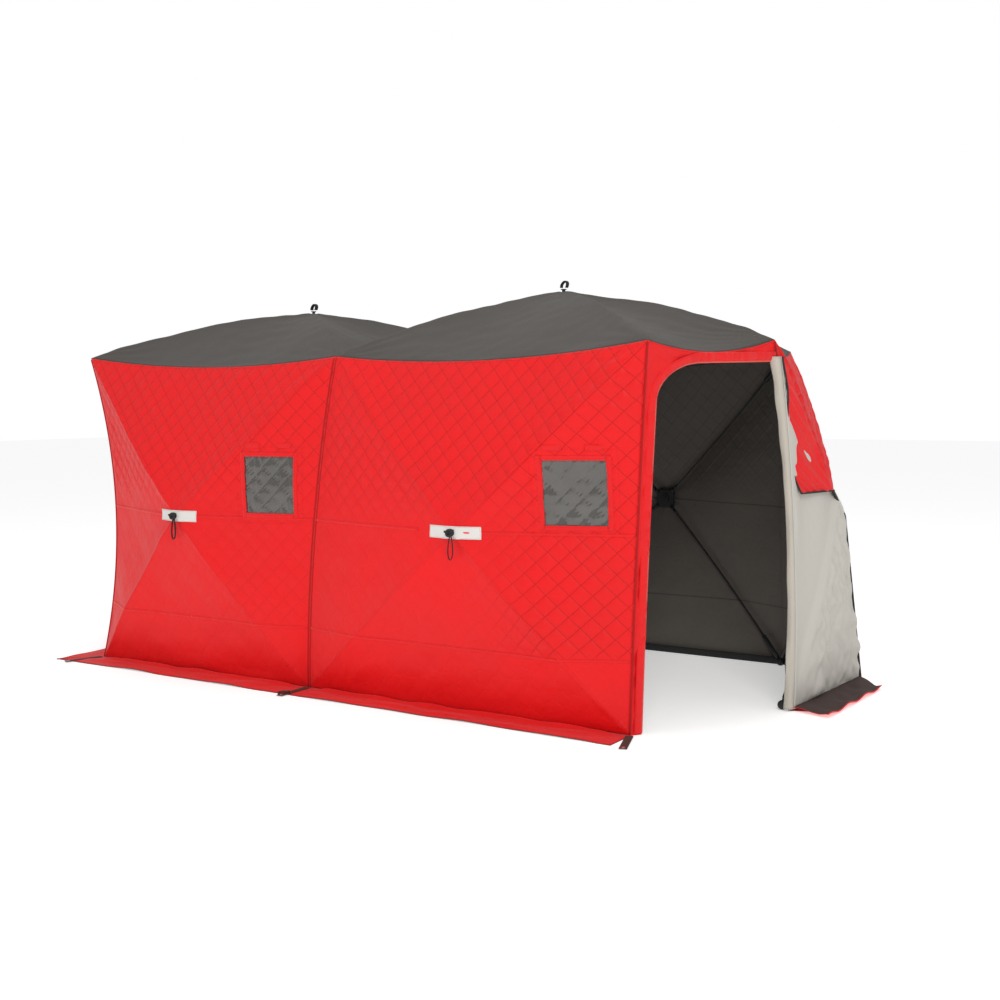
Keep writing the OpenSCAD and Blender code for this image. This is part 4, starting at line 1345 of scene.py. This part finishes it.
def flap_piece():
    u, v = np.meshgrid(np.linspace(0, 1, 90), np.linspace(0, 1, 110), indexing="ij")
    points = flap_points(u, v)
    run = u * FLAP_LENGTH
    place = np.stack([run, points[..., 2]], -1)
    # the crease from the hub down to the hinge's foot parts a smooth facet from a slack one
    slack = ramp(u - 0.98 * v, 0.0, 0.06) * ramp(u, 0.05, 0.3)
    border = ramp(u, 0, 0.05) * ramp(1 - u, 0, 0.03) * ramp(v, 0, 0.02) * ramp(1 - v, 0, 0.05)
    relief = 0.004 * ripples(place, 0.5, 401) + 0.022 * (ramp(u - 0.98 * v, -0.07,
                                                              0.0) - 0.5) * ramp(u, 0, 0.2)
    relief = relief + slack * (0.006 * np.sin(place @ vec(46, 22) + 1.6 * ripples(place, 0.25, 402, 8))
                               + 0.004 * ripples(place, 0.12, 403))
    relief = relief + 0.006 * np.exp(-points[...,
                                             2] / 0.05) * np.sin(run * 95 + 1.5 * ripples(place, 0.2, 404, 6))
    weight = 0.15 + 0.85 * slack
    relief = relief + (diamonds(place, sizes().quilt_cell) - 0.5) * 0.005 * weight
    outer = points + FLAP_OUT * (relief * border)[..., None]
    inner = outer - FLAP_OUT * FLAP_CLOTH
    seam = np.minimum(run, np.minimum((1 - u) * FLAP_LENGTH, points[..., 2] - FLAP_LIFT))
    return cloth_shell("door_flap_cloth", outer, inner, [material("door_lining"), material("wall_cloth")],
                       place + 40, np.stack([seam, weight], -1))


def fold_points(u, w):
    """The folded corner: u runs along the fold, w from the fold to the flap's own upper edge."""
    fold = flap_points(u, np.ones_like(u))
    hinge = flap_hinge(np.ones(1))[0]
    tip = hinge + FOLD_WAY * FOLD_EDGE + FLAP_OUT * 0.03
    edge = hinge + (tip - hinge) * u[..., None]
    sway = HEM_WAY * (0.040 * np.sin(math.pi * u ** 1.8) * w)[..., None]
    points = fold + (edge - fold) * w[..., None] + sway
    return points + FLAP_OUT * (0.012 + 0.020 * np.sin(math.pi * w * 0.5) * ramp(u, 0, 0.3))[..., None]


def fold_piece():
    u, w = np.meshgrid(np.linspace(0.0, 1, 80), np.linspace(0, 1, 40), indexing="ij")
    points = fold_points(u, w)
    place = np.stack([u * 0.7, w * 0.35 * u], -1)
    border = ramp(w, 0, 0.1)
    relief = (0.004 * ripples(place, 0.3, 411)
              + 0.003 * np.sin(place @ vec(30, 70) + ripples(place, 0.3, 412, 6)))
    outer = points + FLAP_OUT * (relief * border * ramp(u, 0, 0.1))[..., None]
    inner = outer - FLAP_OUT * FLAP_CLOTH
    seam = np.minimum((1 - w) * 0.35 * u, (1 - u) * 0.7)
    return cloth_shell("door_flap_folded_corner", outer, inner,
                       [material("wall_cloth"), material("door_lining")],
                       place + 55, np.stack([seam, np.full(seam.shape, 0.2)], -1))


class HUT_OT_flap(bpy.types.Operator):
    """Build the opened door flap, its folded corner, zip and skirt"""
    bl_idname = "hut.flap"
    bl_label = "Door flap"

    def execute(self, context):
        flap = finish_piece(flap_piece(), "door_lining", "door_flap")
        fold = finish_piece(fold_piece(), "wall_fabric", "door_flap_corner")
        v = np.linspace(0, 1, 90)
        edge = flap_free(v)
        tape = strap_piece("flap_zip_tape", edge + FLAP_WAY * 0.004,
                           np.broadcast_to(FLAP_WAY * 0.011, edge.shape),
                           0.008, material("webbing"))
        bead = tube_piece("flap_zip_bead", edge + FLAP_WAY * 0.002 + FLAP_OUT * 0.004, 0.0065,
                          material("webbing"), 10)
        finish_piece(joined("flap_zip_tape", [tape, bead]), "webbing")
        teeth = repeat_along("flap_zip_teeth", [edge + FLAP_WAY * 0.0165], 0.0034, (0.0022, 0.005, 0.0026),
                             "zip_teeth")
        finish_piece(teeth, "hub_plastic")
        w = np.linspace(0, 1, 60)
        upper = fold_points(w, np.ones_like(w))
        free = fold_points(np.ones_like(w), w)
        bound = [tube_piece("flap_upper_binding", upper, 0.0046, material("webbing"), 8),
                 tube_piece("flap_corner_binding", free, 0.0046, material("webbing"), 8)]
        finish_piece(joined("flap_corner_bindings", bound), "webbing")
        hinge = flap_hinge(v) + FLAP_OUT * 0.002
        hem = edge_band("flap_hinge_hem", hinge + FLAP_WAY * 0.016,
                        np.broadcast_to(FLAP_WAY * 0.015, hinge.shape),
                        FLAP_OUT, 0.003, "door_lining")
        turned = turned_hem(v, hinge)
        finish_piece(joined("flap_hinge_hem", [hem, turned]), "door_lining")
        finish_piece(flap_skirt_piece(), "skirt_lining", "flap_skirt")
        return {"FINISHED"}


def turned_hem(v, hinge):
    """The lining turned round the hinge, which covers the post and its pole ends."""
    share = np.linspace(0, 1, 12)
    width = np.interp(v, (0.0, 0.25, 0.6, 1.0), (0.050, 0.038, 0.034, 0.052))
    station = hinge[:, 2:3]
    width = width * (1 + 0.03 * ripples(station, 0.25, 431, 6))
    outer = hinge[:, None] + HEM_WAY * (width[:, None] * share[None])[..., None]
    crown = 0.012 * np.sin(math.pi * share)[None] * (1 + 0.25 * ripples(station, 0.3, 432, 5))[:, None]
    outer = outer + HEM_OUT * crown[..., None]
    uv = np.stack([width[:, None] * share[None], np.broadcast_to(station, crown.shape)], -1)
    return cloth_shell("turned_hem", outer, outer - HEM_OUT * 0.006, [material("door_lining_plain")], uv,
                       np.zeros_like(uv))


def flap_skirt_piece():
    """The skirt at the flap's foot lies on the ground with its dark side up."""
    foot = flap_points(np.array([0.0]), np.array([0.0]))[0]
    end = flap_free(np.array([0.0]))[0]
    u, w = np.meshgrid(np.linspace(0, 1, 70), np.linspace(0, 1, 16), indexing="ij")
    near = foot + (end - foot) * u[..., None]
    far_a = foot + FLAP_OUT * SKIRT - FLAP_WAY * 0.045
    far_b = end + FLAP_OUT * 0.184 - FLAP_WAY * 0.17
    far = far_a + (far_b - far_a) * u[..., None]
    points = near + (far - near) * w[..., None]
    place = np.stack([u * 0.85, w * 0.2], -1)
    points[..., 2] = (0.010 + 0.012 * (1 - w) ** 2
                      + 0.004 * (1 + ripples(place, 0.16, 421)) * bump(np.clip(w, 0, 1)))
    points[..., 2] += 0.007 * ramp(w, 0.7, 1) * (1 + np.sin(u * 19 + 1))
    outer = points
    inner = outer - vec(0, 0, 0.003)
    skirt = cloth_shell("flap_skirt_cloth", outer, inner,
                        [material("skirt_lining"), material("plain_red_cloth")],
                        place, np.zeros_like(place))
    trim = tube_piece("flap_skirt_edge", outer[:, -1] + vec(0, 0, 0.001), 0.003, material("plain_red_cloth"),
                      8)
    finish_piece(trim, "wall_fabric")
    return skirt


# ---- Skirts -----------------------------------------------------------------

SKIRT = 0.20


def skirt_piece(names, a, b, into, shift_a, shift_b, seed):
    """A band of thin cloth that lies on the ground along a wall's foot."""
    a, b = CORNERS[a].foot, CORNERS[b].foot
    way = flat_unit(b - a)
    total = np.linalg.norm(b - a)
    u, w = np.meshgrid(np.linspace(0, 1, max(40, int(total * 110))), np.linspace(0, 1, 22), indexing="ij")
    near_run = blend(0, total, u)
    far_run = blend(shift_a, total + shift_b, u)
    run = near_run + (far_run - near_run) * w
    place = np.stack([run, w * SKIRT], -1)
    drift = 0.005 * ripples(place[..., :1], 0.9, seed, 6) * w
    points = a + way * run[..., None] - into * (0.002 + (SKIRT - 0.006) * w + drift - 0.006 * w)[..., None]
    lift = 0.003 * (1 + ripples(place * vec(1, 2.4), 0.30, seed + 1)) * bump(w)
    # a stake tab lies over each end, and the flap's skirt over the one behind it
    loose = ramp(np.minimum(near_run, total - near_run), 0.04, 0.16) * (0.0 if "prow" in names[0] else 1.0)
    # a soft roll where the cloth turns from the wall to the ground, then a pressed fold
    roll = (0.016 * np.exp(-((w - 0.14) / 0.09) ** 2)
            * (0.85 + 0.15 * ripples(place[..., :1], 0.35, seed + 2, 7)))
    curl = 0.006 * ramp(w, 0.72, 1.0) * (0.6 + 0.4 * ripples(place[..., :1], 0.5, seed + 3, 6))
    points[..., 2] = 0.0040 + loose * (np.maximum(lift, 0) + np.maximum(roll, 0) + np.maximum(curl, 0))
    inner = points - vec(0, 0, 0.004) * np.minimum(1, points[..., 2:3] / 0.004)
    seam = np.minimum(w, 1 - w) * SKIRT
    piece = cloth_shell(names[0] + "_cloth", points, inner,
                        [material("plain_red_cloth"), material("skirt_lining")],
                        place + seed, np.stack([seam, np.zeros_like(seam)], -1))
    finish_piece(piece, "skirt_fabric", *names)
    STITCH_RUNS.append([points[:, -2] + vec(0, 0, 0.0004)])
    return piece


class HUT_OT_skirts(bpy.types.Operator):
    """Lay the skirt on the ground along every wall"""
    bl_idname = "hut.skirts"
    bl_label = "Skirts"

    def execute(self, context):
        whole = SKIRT - 0.001
        skirt_piece(["front_left_skirt"], "front_left", "front_middle", IN_FRONT, -whole, 0, 501)
        skirt_piece(["front_right_skirt"], "front_middle", "front_right", IN_FRONT, 0, 0, 511)
        skirt_piece(["back_right_skirt"], "back_right", "back_middle", IN_BACK, 0, 0, 521)
        skirt_piece(["back_left_skirt"], "back_middle", "back_left", IN_BACK, 0, whole, 531)
        skirt_piece(["left_end_skirt"], "back_left", "front_left", IN_LEFT, -whole, whole, 541)
        skirt_piece(["prow_skirt"], "post", "back_right", IN_PROW, 0, -0.03, 551)
        return {"FINISHED"}


# ---- Frame ------------------------------------------------------------------

CAP_R = 0.024


def cap_place(corner, inside, foot):
    top = CORNERS[corner]
    share = (CAP_R + 0.0003) / top.top[2] if foot else 1 - (CAP_R + 0.016) / top.top[2]
    return top.along(share) + inside * (CAP_R + 0.008 + 0.004)


def inside_ways():
    return {
        "front_left": mitre(IN_FRONT, IN_LEFT), "front_middle": IN_FRONT,
        "front_right": mitre(IN_FRONT, IN_DOOR), "post": mitre(IN_DOOR, IN_PROW),
        "back_right": mitre(IN_BACK, IN_PROW), "back_middle": IN_BACK,
        "back_left": mitre(IN_BACK, IN_LEFT),
    }


HUB_W, HUB_T = 0.112, 0.022


def hub_middle(name):
    """The middle of a wall hub's body, clear of the fabric that slopes away from it."""
    clear = 1.06 * sizes().wall_thickness + HUB_W / 2 * hub_slope(name)
    return wall_tip(name) + WALLS[name][2] * (clear + HUB_T / 2)


def roof_hub_middle(side):
    s = sizes()
    slope = (roof_peak("right")[2] - EAVE + s.middle_drop + s.eave_sag) / ((X_RIGHT - X_LEFT) / 4)
    return roof_peak(side) + IN_ROOF * (1.1 * s.roof_thickness + HUB_W / 2 * slope + HUB_T / 2)


def pole_pieces(hub, ends, out, bow):
    """Slim bowed poles with a thick sleeve and a steel pin at their far ends."""
    r = sizes().pole_diameter / 2
    across = vec(1, 0, 0) if abs(out[2]) > 0.5 else vec(-out[1], out[0], 0)
    up = np.cross(out, across)
    pieces, pins = [], []
    for end in ends:
        way = unit(end - hub)
        edge = HUB_W / 2 / max(abs(way @ across), abs(way @ up))
        start, stop = hub + way * (edge - 0.004), end - way * (CAP_R + 0.0003)
        length_m = np.linalg.norm(stop - start)
        sleeve = 1 - 0.16 / length_m
        t = np.concatenate([np.linspace(0, sleeve, 34), [sleeve + 0.0008, sleeve + 0.004, 0.985, 0.99, 1.0]])
        path = start + (stop - start) * t[:, None] + out * (bow * bump(t))[:, None]
        radii = np.concatenate([np.full(34, r), [0.0105, 0.0120, 0.0120, 0.0105, 0.0075]])
        pieces.append(tube_piece("pole", path, radii, material("pole_fibre")))
        grip = np.array([0.0, 0.035, 0.05])
        grip_path = (start + (stop - start) * (grip / length_m)[:, None]
                     + out * (bow * bump(grip / length_m))[:, None])
        pieces.append(tube_piece("ferrule", grip_path, [0.0085, 0.0085, 0.0065], material("pole_fibre")))
        pin_path = np.array([stop - way * 0.002, stop + way * 0.012])
        pins.append(tube_piece("pin", pin_path, 0.004, material("steel"), 10))
    return pieces, pins


def hub_piece(name, middle, tip, out, ways):
    """A moulded hub: a square plate with rounded rims, a boss, screws and pole sockets, and its stem and
    washer.
    """
    side = vec(1, 0, 0) if abs(out[2]) > 0.9 else vec(-out[1], out[0], 0)
    up = np.cross(out, side)
    bm = bmesh.new()
    turn = Matrix((Vector(side), Vector(up), Vector(out))).transposed().to_4x4()
    place = Matrix.Translation(Vector(middle)) @ turn
    bmesh.ops.create_cube(bm, size=1, matrix=place @ Matrix.Diagonal((HUB_W, HUB_W, HUB_T, 1)))
    bmesh.ops.bevel(bm, geom=list(bm.edges), offset=0.006, segments=3, affect="EDGES", profile=0.6)
    for radius, depth, at in ((0.030, 0.010, -0.014), (0.016, 0.014, -0.018)):
        bmesh.ops.create_cone(bm, cap_ends=True, segments=40, radius1=radius, radius2=radius * 0.92,
                              depth=depth,
                              matrix=place @ Matrix.Translation((0, 0,
                                                                 at)) @ Matrix.Rotation(math.pi, 4, "X"))
    for x, y in ((1, 1), (1, -1), (-1, 1), (-1, -1)):
        bmesh.ops.create_cone(bm, cap_ends=True, segments=16, radius1=0.0055, radius2=0.0046, depth=0.005,
                              matrix=place @ Matrix.Translation((x * 0.040, y * 0.040, -0.013)))
    reach = float(np.linalg.norm(tip - middle)) + 0.008
    bmesh.ops.create_cone(bm, cap_ends=True, segments=24, radius1=0.009, radius2=0.009, depth=reach,
                          matrix=place @ Matrix.Translation((0, 0, reach / 2)))
    bmesh.ops.create_cone(bm, cap_ends=True, segments=32, radius1=0.017, radius2=0.014, depth=0.004,
                          matrix=place @ Matrix.Translation((0, 0, reach)))
    mesh = bpy.data.meshes.new(name)
    bm.to_mesh(mesh)
    bm.free()
    mesh.materials.append(material("hub_plastic"))
    body = bpy.data.objects.new(name, mesh)
    bpy.context.collection.objects.link(body)
    parts = [body]
    for way in ways:
        edge = HUB_W / 2 / max(abs(way @ side), abs(way @ up))
        path = np.array([middle + way * (edge - 0.012), middle + way * (edge + 0.012)])
        parts.append(tube_piece("socket", path, [0.0105, 0.0098], material("hub_plastic"), 16))
    return joined(name, parts)


class HUT_OT_frame(bpy.types.Operator):
    """Build the hubs, the bowed poles and their corner ends"""
    bl_idname = "hut.frame"
    bl_label = "Hubs and poles"

    def execute(self, context):
        s = sizes()
        ways = inside_ways()
        pins = []
        for name, (a, b, into, *_) in WALLS.items():
            hub = hub_middle(name)
            ends = [cap_place(c, ways[c], foot) for foot in (False, True) for c in (a, b)]
            poles, new_pins = pole_pieces(hub, ends, -into, s.wall_bow)
            finish_piece(joined(name + "_pole_set", poles), "pole", name + "_poles")
            pins += new_pins
            body = hub_piece(name + "_hub_body", hub, wall_tip(name), -into, [unit(e - hub) for e in ends])
            finish_piece(body, "hub_plastic", name + "_hub")
        for side, edges in ROOFS.items():
            hub = roof_hub_middle(side)
            ends = [cap_place(a, ways[a], False) for a, _, _ in edges]
            poles, new_pins = pole_pieces(hub, ends, vec(0, 0, 1), s.roof_bow)
            finish_piece(joined(side + "_roof_pole_set", poles), "pole", side + "_roof_poles")
            pins += new_pins
            body = hub_piece(side + "_roof_hub_body", hub, roof_peak(side), vec(0, 0, 1),
                             [unit(e - hub) for e in ends])
            finish_piece(body, "hub_plastic", side + "_roof_hub")
        finish_piece(joined("pole_pins", pins), "grommet")
        return {"FINISHED"}


# ---- Patches, loops, tabs ---------------------------------------------------

def hub_patch(name):
    a, b, into = WALLS[name][:3]
    tree = WALL_SURFACES[name]
    tip = wall_tip(name)
    way = flat_unit(CORNERS[b].top - CORNERS[a].top)
    x = np.linspace(-0.14, 0.14, 60)
    z = np.linspace(-0.03, 0.03, 14)
    points = tip + way * x[:, None, None] + vec(0, 0, 1) * z[None, :, None]
    base = dropped(tree, points, into, 0.0012)
    # the strip bridges the hollow round the hub's stem
    centre = np.exp(-(x[:, None] ** 2 + z[None] ** 2) / 0.045 ** 2)
    base = base - into * (0.0018 * centre)[..., None]
    place = np.stack(np.meshgrid(x, z, indexing="ij"), -1)
    relief = 0.0009 * ripples(place, 0.07, 601)
    outer = base - into * (0.002 + relief)[..., None]
    seam = np.minimum(0.14 - np.abs(place[..., 0]), 0.03 - np.abs(place[..., 1]))
    piece = cloth_shell(name + "_patch", outer, base, [material("reflective")], place,
                        np.stack([seam, seam * 0], -1))
    edge = rectangle_line(tip, way, 0.136, 0.026, 24)
    STITCH_RUNS.append([dropped(tree, edge, into, 0.0052)])
    return piece


def pull_loop(name):
    """A webbing loop tied in a knob over the hub's washer, hanging down the strip."""
    into = WALLS[name][2]
    out = -into
    side = np.cross(vec(0, 0, 1), out)
    root = wall_tip(name) + out * 0.013
    k = np.linspace(0, 2 * math.pi, 49)
    long, wide = 0.056, 0.017
    drop = root + vec(0, 0, -0.070) + side * 0.004
    path = (drop + vec(0, 0, 1) * (long * np.cos(k))[:, None]
            + side[None] * (wide * np.sin(k) * (0.55 + 0.45 * np.sin(k / 2) ** 2))[:, None]
            + out[None] * (0.004 * np.sin(k / 2))[:, None])
    across = np.broadcast_to(out * 0.0062 + side * 0.002, path.shape)
    loop = strap_piece("loop", path, across, 0.0032, material("webbing"))
    turn = np.linspace(0, 4.2 * math.pi, 76)
    knot_path = root + out * (0.002 + 0.0045 * np.sin(turn * 0.75))[:, None] + vec(0, 0, 1) * (
        0.0135 * np.sin(turn))[:, None] + side[None] * (0.0165 * np.cos(turn * 0.98))[:, None]
    knot = tube_piece("knot", knot_path, 0.0062, material("webbing"), 9)
    end = np.linspace(0, 1, 8)[:, None]
    tails = []
    for way, rise in ((1, 0.014), (-1, 0.006)):
        tail_path = (root + out * (0.003 + 0.006 * end)
                     + side * (way * 0.026 * end) + vec(0, 0, 1) * (rise * end))
        tails.append(tube_piece("tail", tail_path, 0.0052, material("webbing"), 8))
    return [loop, knot, *tails]


def roof_loop(side):
    """A fat doubled webbing loop, which leans over beside the hub's washer."""
    top = roof_peak(side) + vec(0, 0, 0.010)
    k = np.linspace(-0.5, math.pi + 0.5, 44)
    lean = 0.30
    rise = 0.018 + 0.024 * np.sin(k)
    sway = 0.019 * np.cos(k) + lean * rise
    parts = []
    for inset in (0.0, 0.0045):
        path = top + vec(1, 0, 0) * (sway * (1 - inset / 0.03))[:, None] + vec(0, 0, 1) * (
            rise - inset * np.sin(np.clip(k, 0, math.pi)))[:, None]
        across = np.broadcast_to(vec(0, 0.0125, 0), path.shape)
        parts.append(strap_piece("loop", path, across, 0.0036, material("webbing"), 6))
    return parts


def foot_hook(way):
    """A black S-shaped hook on the tab at the foot of the seam between the bays."""
    corner = CORNERS["front_middle" if way < 0 else "back_middle"].foot
    t = np.linspace(0, 1, 50)
    path = corner + vec(0, way, 0) * (0.165 + 0.075 * t)[:, None] + vec(1, 0, 0) * (
        0.016 * np.sin(2 * math.pi * t))[:, None] + vec(0, 0,
                                                        1) * (0.0135 + 0.006 * np.sin(math.pi * t))[:, None]
    return tube_piece("hook", path, 0.0055, material("hub_plastic"), 12)


class HUT_OT_trim(bpy.types.Operator):
    """Add the reflective strips, pull loops, roof loops and the hooks on the middle stake tabs"""
    bl_idname = "hut.trim"
    bl_label = "Strips, loops and tabs"

    def execute(self, context):
        patches = [hub_patch(name) for name in WALLS]
        finish_piece(joined("reflective_strips", patches), "reflective", "hub_patches")
        loops = [part for name in WALLS for part in pull_loop(name)]
        finish_piece(joined("pull_loops", loops), "webbing", "pull_tabs")
        finish_piece(joined("middle_foot_hooks", [foot_hook(-1), foot_hook(1)]), "webbing")
        tops = [part for side in ROOFS for part in roof_loop(side)]
        finish_piece(joined("roof_webbing_loops", tops), "webbing", "roof_loops")
        return {"FINISHED"}


# ---- Stage ------------------------------------------------------------------

class HUT_OT_stage(bpy.types.Operator):
    """Lay the floor and set the soft lights and the camera"""
    bl_idname = "hut.stage"
    bl_label = "Floor, lights and camera"

    def execute(self, context):
        self.camera(context)
        floor = mesh_piece("floor", [(-40, -40, 0), (40, -40, 0), (40, 40, 0), (-40, 40, 0)], [(0, 1, 2, 3)],
                           [])
        paint, _, sockets = new_material("pale_floor")
        sockets["Base Color"].default_value = (0.90, 0.90, 0.90, 1)
        sockets["Roughness"].default_value = 0.9
        sockets["Specular IOR Level"].default_value = 0.0
        sockets["Emission Color"].default_value = (1.0, 1.0, 1.0, 1)
        sockets["Emission Strength"].default_value = 0.42
        floor.data.materials.append(paint)
        context.scene.view_settings.view_transform = "Standard"
        context.scene.world = self.studio()
        self.light("key", (5.2, -6.0, 6.2), (0.6, -0.4, 0.9), 3.5, 270, (1.0, 0.98, 0.95))
        self.light("glint", (-1.6, -5.2, 4.6), (0.0, -0.9, 1.0), 0.7, 22, (1.0, 1.0, 1.0))
        self.light("fill", (-6.5, -6.0, 4.0), (-0.8, -0.6, 0.8), 5.0, 20, (0.95, 0.97, 1.0))
        self.light("top", (0.0, 0.5, 7.5), (0.0, 0.0, 0.0), 6.0, 110, (1.0, 1.0, 1.0))
        return {"FINISHED"}

    def studio(self):
        """A white surround that shows full white and lights the hut more softly."""
        world = bpy.data.worlds.new("studio")
        world.use_nodes = True
        n = Nodes(world.node_tree)
        seen, soft = n.add("ShaderNodeBackground"), n.add("ShaderNodeBackground")
        seen.inputs["Strength"].default_value = 1.0
        seen.inputs["Color"].default_value = soft.inputs["Color"].default_value = (1.0, 1.0, 1.0, 1)
        soft.inputs["Strength"].default_value = 0.58
        choose = n.add("ShaderNodeMixShader")
        n.link(n.add("ShaderNodeLightPath").outputs["Is Camera Ray"], choose.inputs[0])
        n.link(soft.outputs[0], choose.inputs[1])
        n.link(seen.outputs[0], choose.inputs[2])
        n.link(choose.outputs[0], n.add("ShaderNodeOutputWorld").inputs[0])
        return world

    def light(self, name, place, target, size, power, tint):
        data = bpy.data.lights.new(name, "AREA")
        data.size, data.energy, data.color = size, power, tint
        lamp = bpy.data.objects.new(name, data)
        lamp.location = place
        lamp.rotation_euler = (Vector(target) - Vector(place)).to_track_quat("-Z", "Y").to_euler()
        bpy.context.collection.objects.link(lamp)

    def camera(self, context):
        """A standing viewer's eye, off the right front corner, looking a little down."""
        corner = vec(X_RIGHT, Y_FRONT, 0)
        eye = corner + vec(2.6055, -5.1974, 1.5333)
        turn, dip, roll = 0.5723, 0.0777, 0.0063
        ahead = vec(-math.cos(dip) * math.sin(turn), math.cos(dip) * math.cos(turn), -math.sin(dip))
        right = vec(math.cos(turn), math.sin(turn), 0)
        up = np.cross(right, ahead)
        right, up = (math.cos(roll) * right - math.sin(roll) * up,
                     math.sin(roll) * right + math.cos(roll) * up)
        data = bpy.data.cameras.new("camera")
        data.sensor_width = 36
        data.lens = 46.76
        camera = bpy.data.objects.new("camera", data)
        camera.matrix_world = Matrix([[right[i], up[i], -ahead[i],
                                       eye[i]] for i in range(3)] + [[0, 0, 0, 1]])
        bpy.context.collection.objects.link(camera)
        context.scene.camera = camera


class HUT_OT_cad_finish(bpy.types.Operator):
    """Give the frame parts that stay their materials"""
    bl_idname = "hut.cad_finish"
    bl_label = "Frame part finishes"

    def execute(self, context):
        finishes = {"top_corner_caps": "rubber", "foot_corner_caps": "rubber", "stake_tabs": "brown_webbing",
                    "stake_grommets": "steel"}
        for node, finish in finishes.items():
            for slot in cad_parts[node].material_slots:
                slot.material = material(finish)
        return {"FINISHED"}


class HUT_PT_panel(bpy.types.Panel):
    """Sidebar panel that lists the hut's pieces"""
    bl_idname = "HUT_PT_panel"
    bl_label = "Ice fishing hut"
    bl_space_type = "VIEW_3D"
    bl_region_type = "UI"
    bl_category = "Hut"

    def draw(self, context):
        for step in STEPS:
            self.layout.operator(step.bl_idname)


STEPS = (HUT_OT_stage, HUT_OT_walls, HUT_OT_roofs, HUT_OT_windows, HUT_OT_doorway, HUT_OT_flap, HUT_OT_skirts,
         HUT_OT_frame, HUT_OT_trim, HUT_OT_stitches, HUT_OT_cad_finish)
CLASSES = (HutSizes, HutColours, *STEPS, HUT_PT_panel)


def register():
    for item in CLASSES:
        bpy.utils.register_class(item)
    bpy.types.Scene.hut_sizes = bpy.props.PointerProperty(type=HutSizes)
    bpy.types.Scene.hut_colours = bpy.props.PointerProperty(type=HutColours)


def unregister():
    del bpy.types.Scene.hut_sizes
    del bpy.types.Scene.hut_colours
    for item in reversed(CLASSES):
        bpy.utils.unregister_class(item)


def main():
    register()
    for step in STEPS:
        group, action = step.bl_idname.split(".")
        getattr(getattr(bpy.ops, group), action)()


if __name__ == "__main__":
    main()
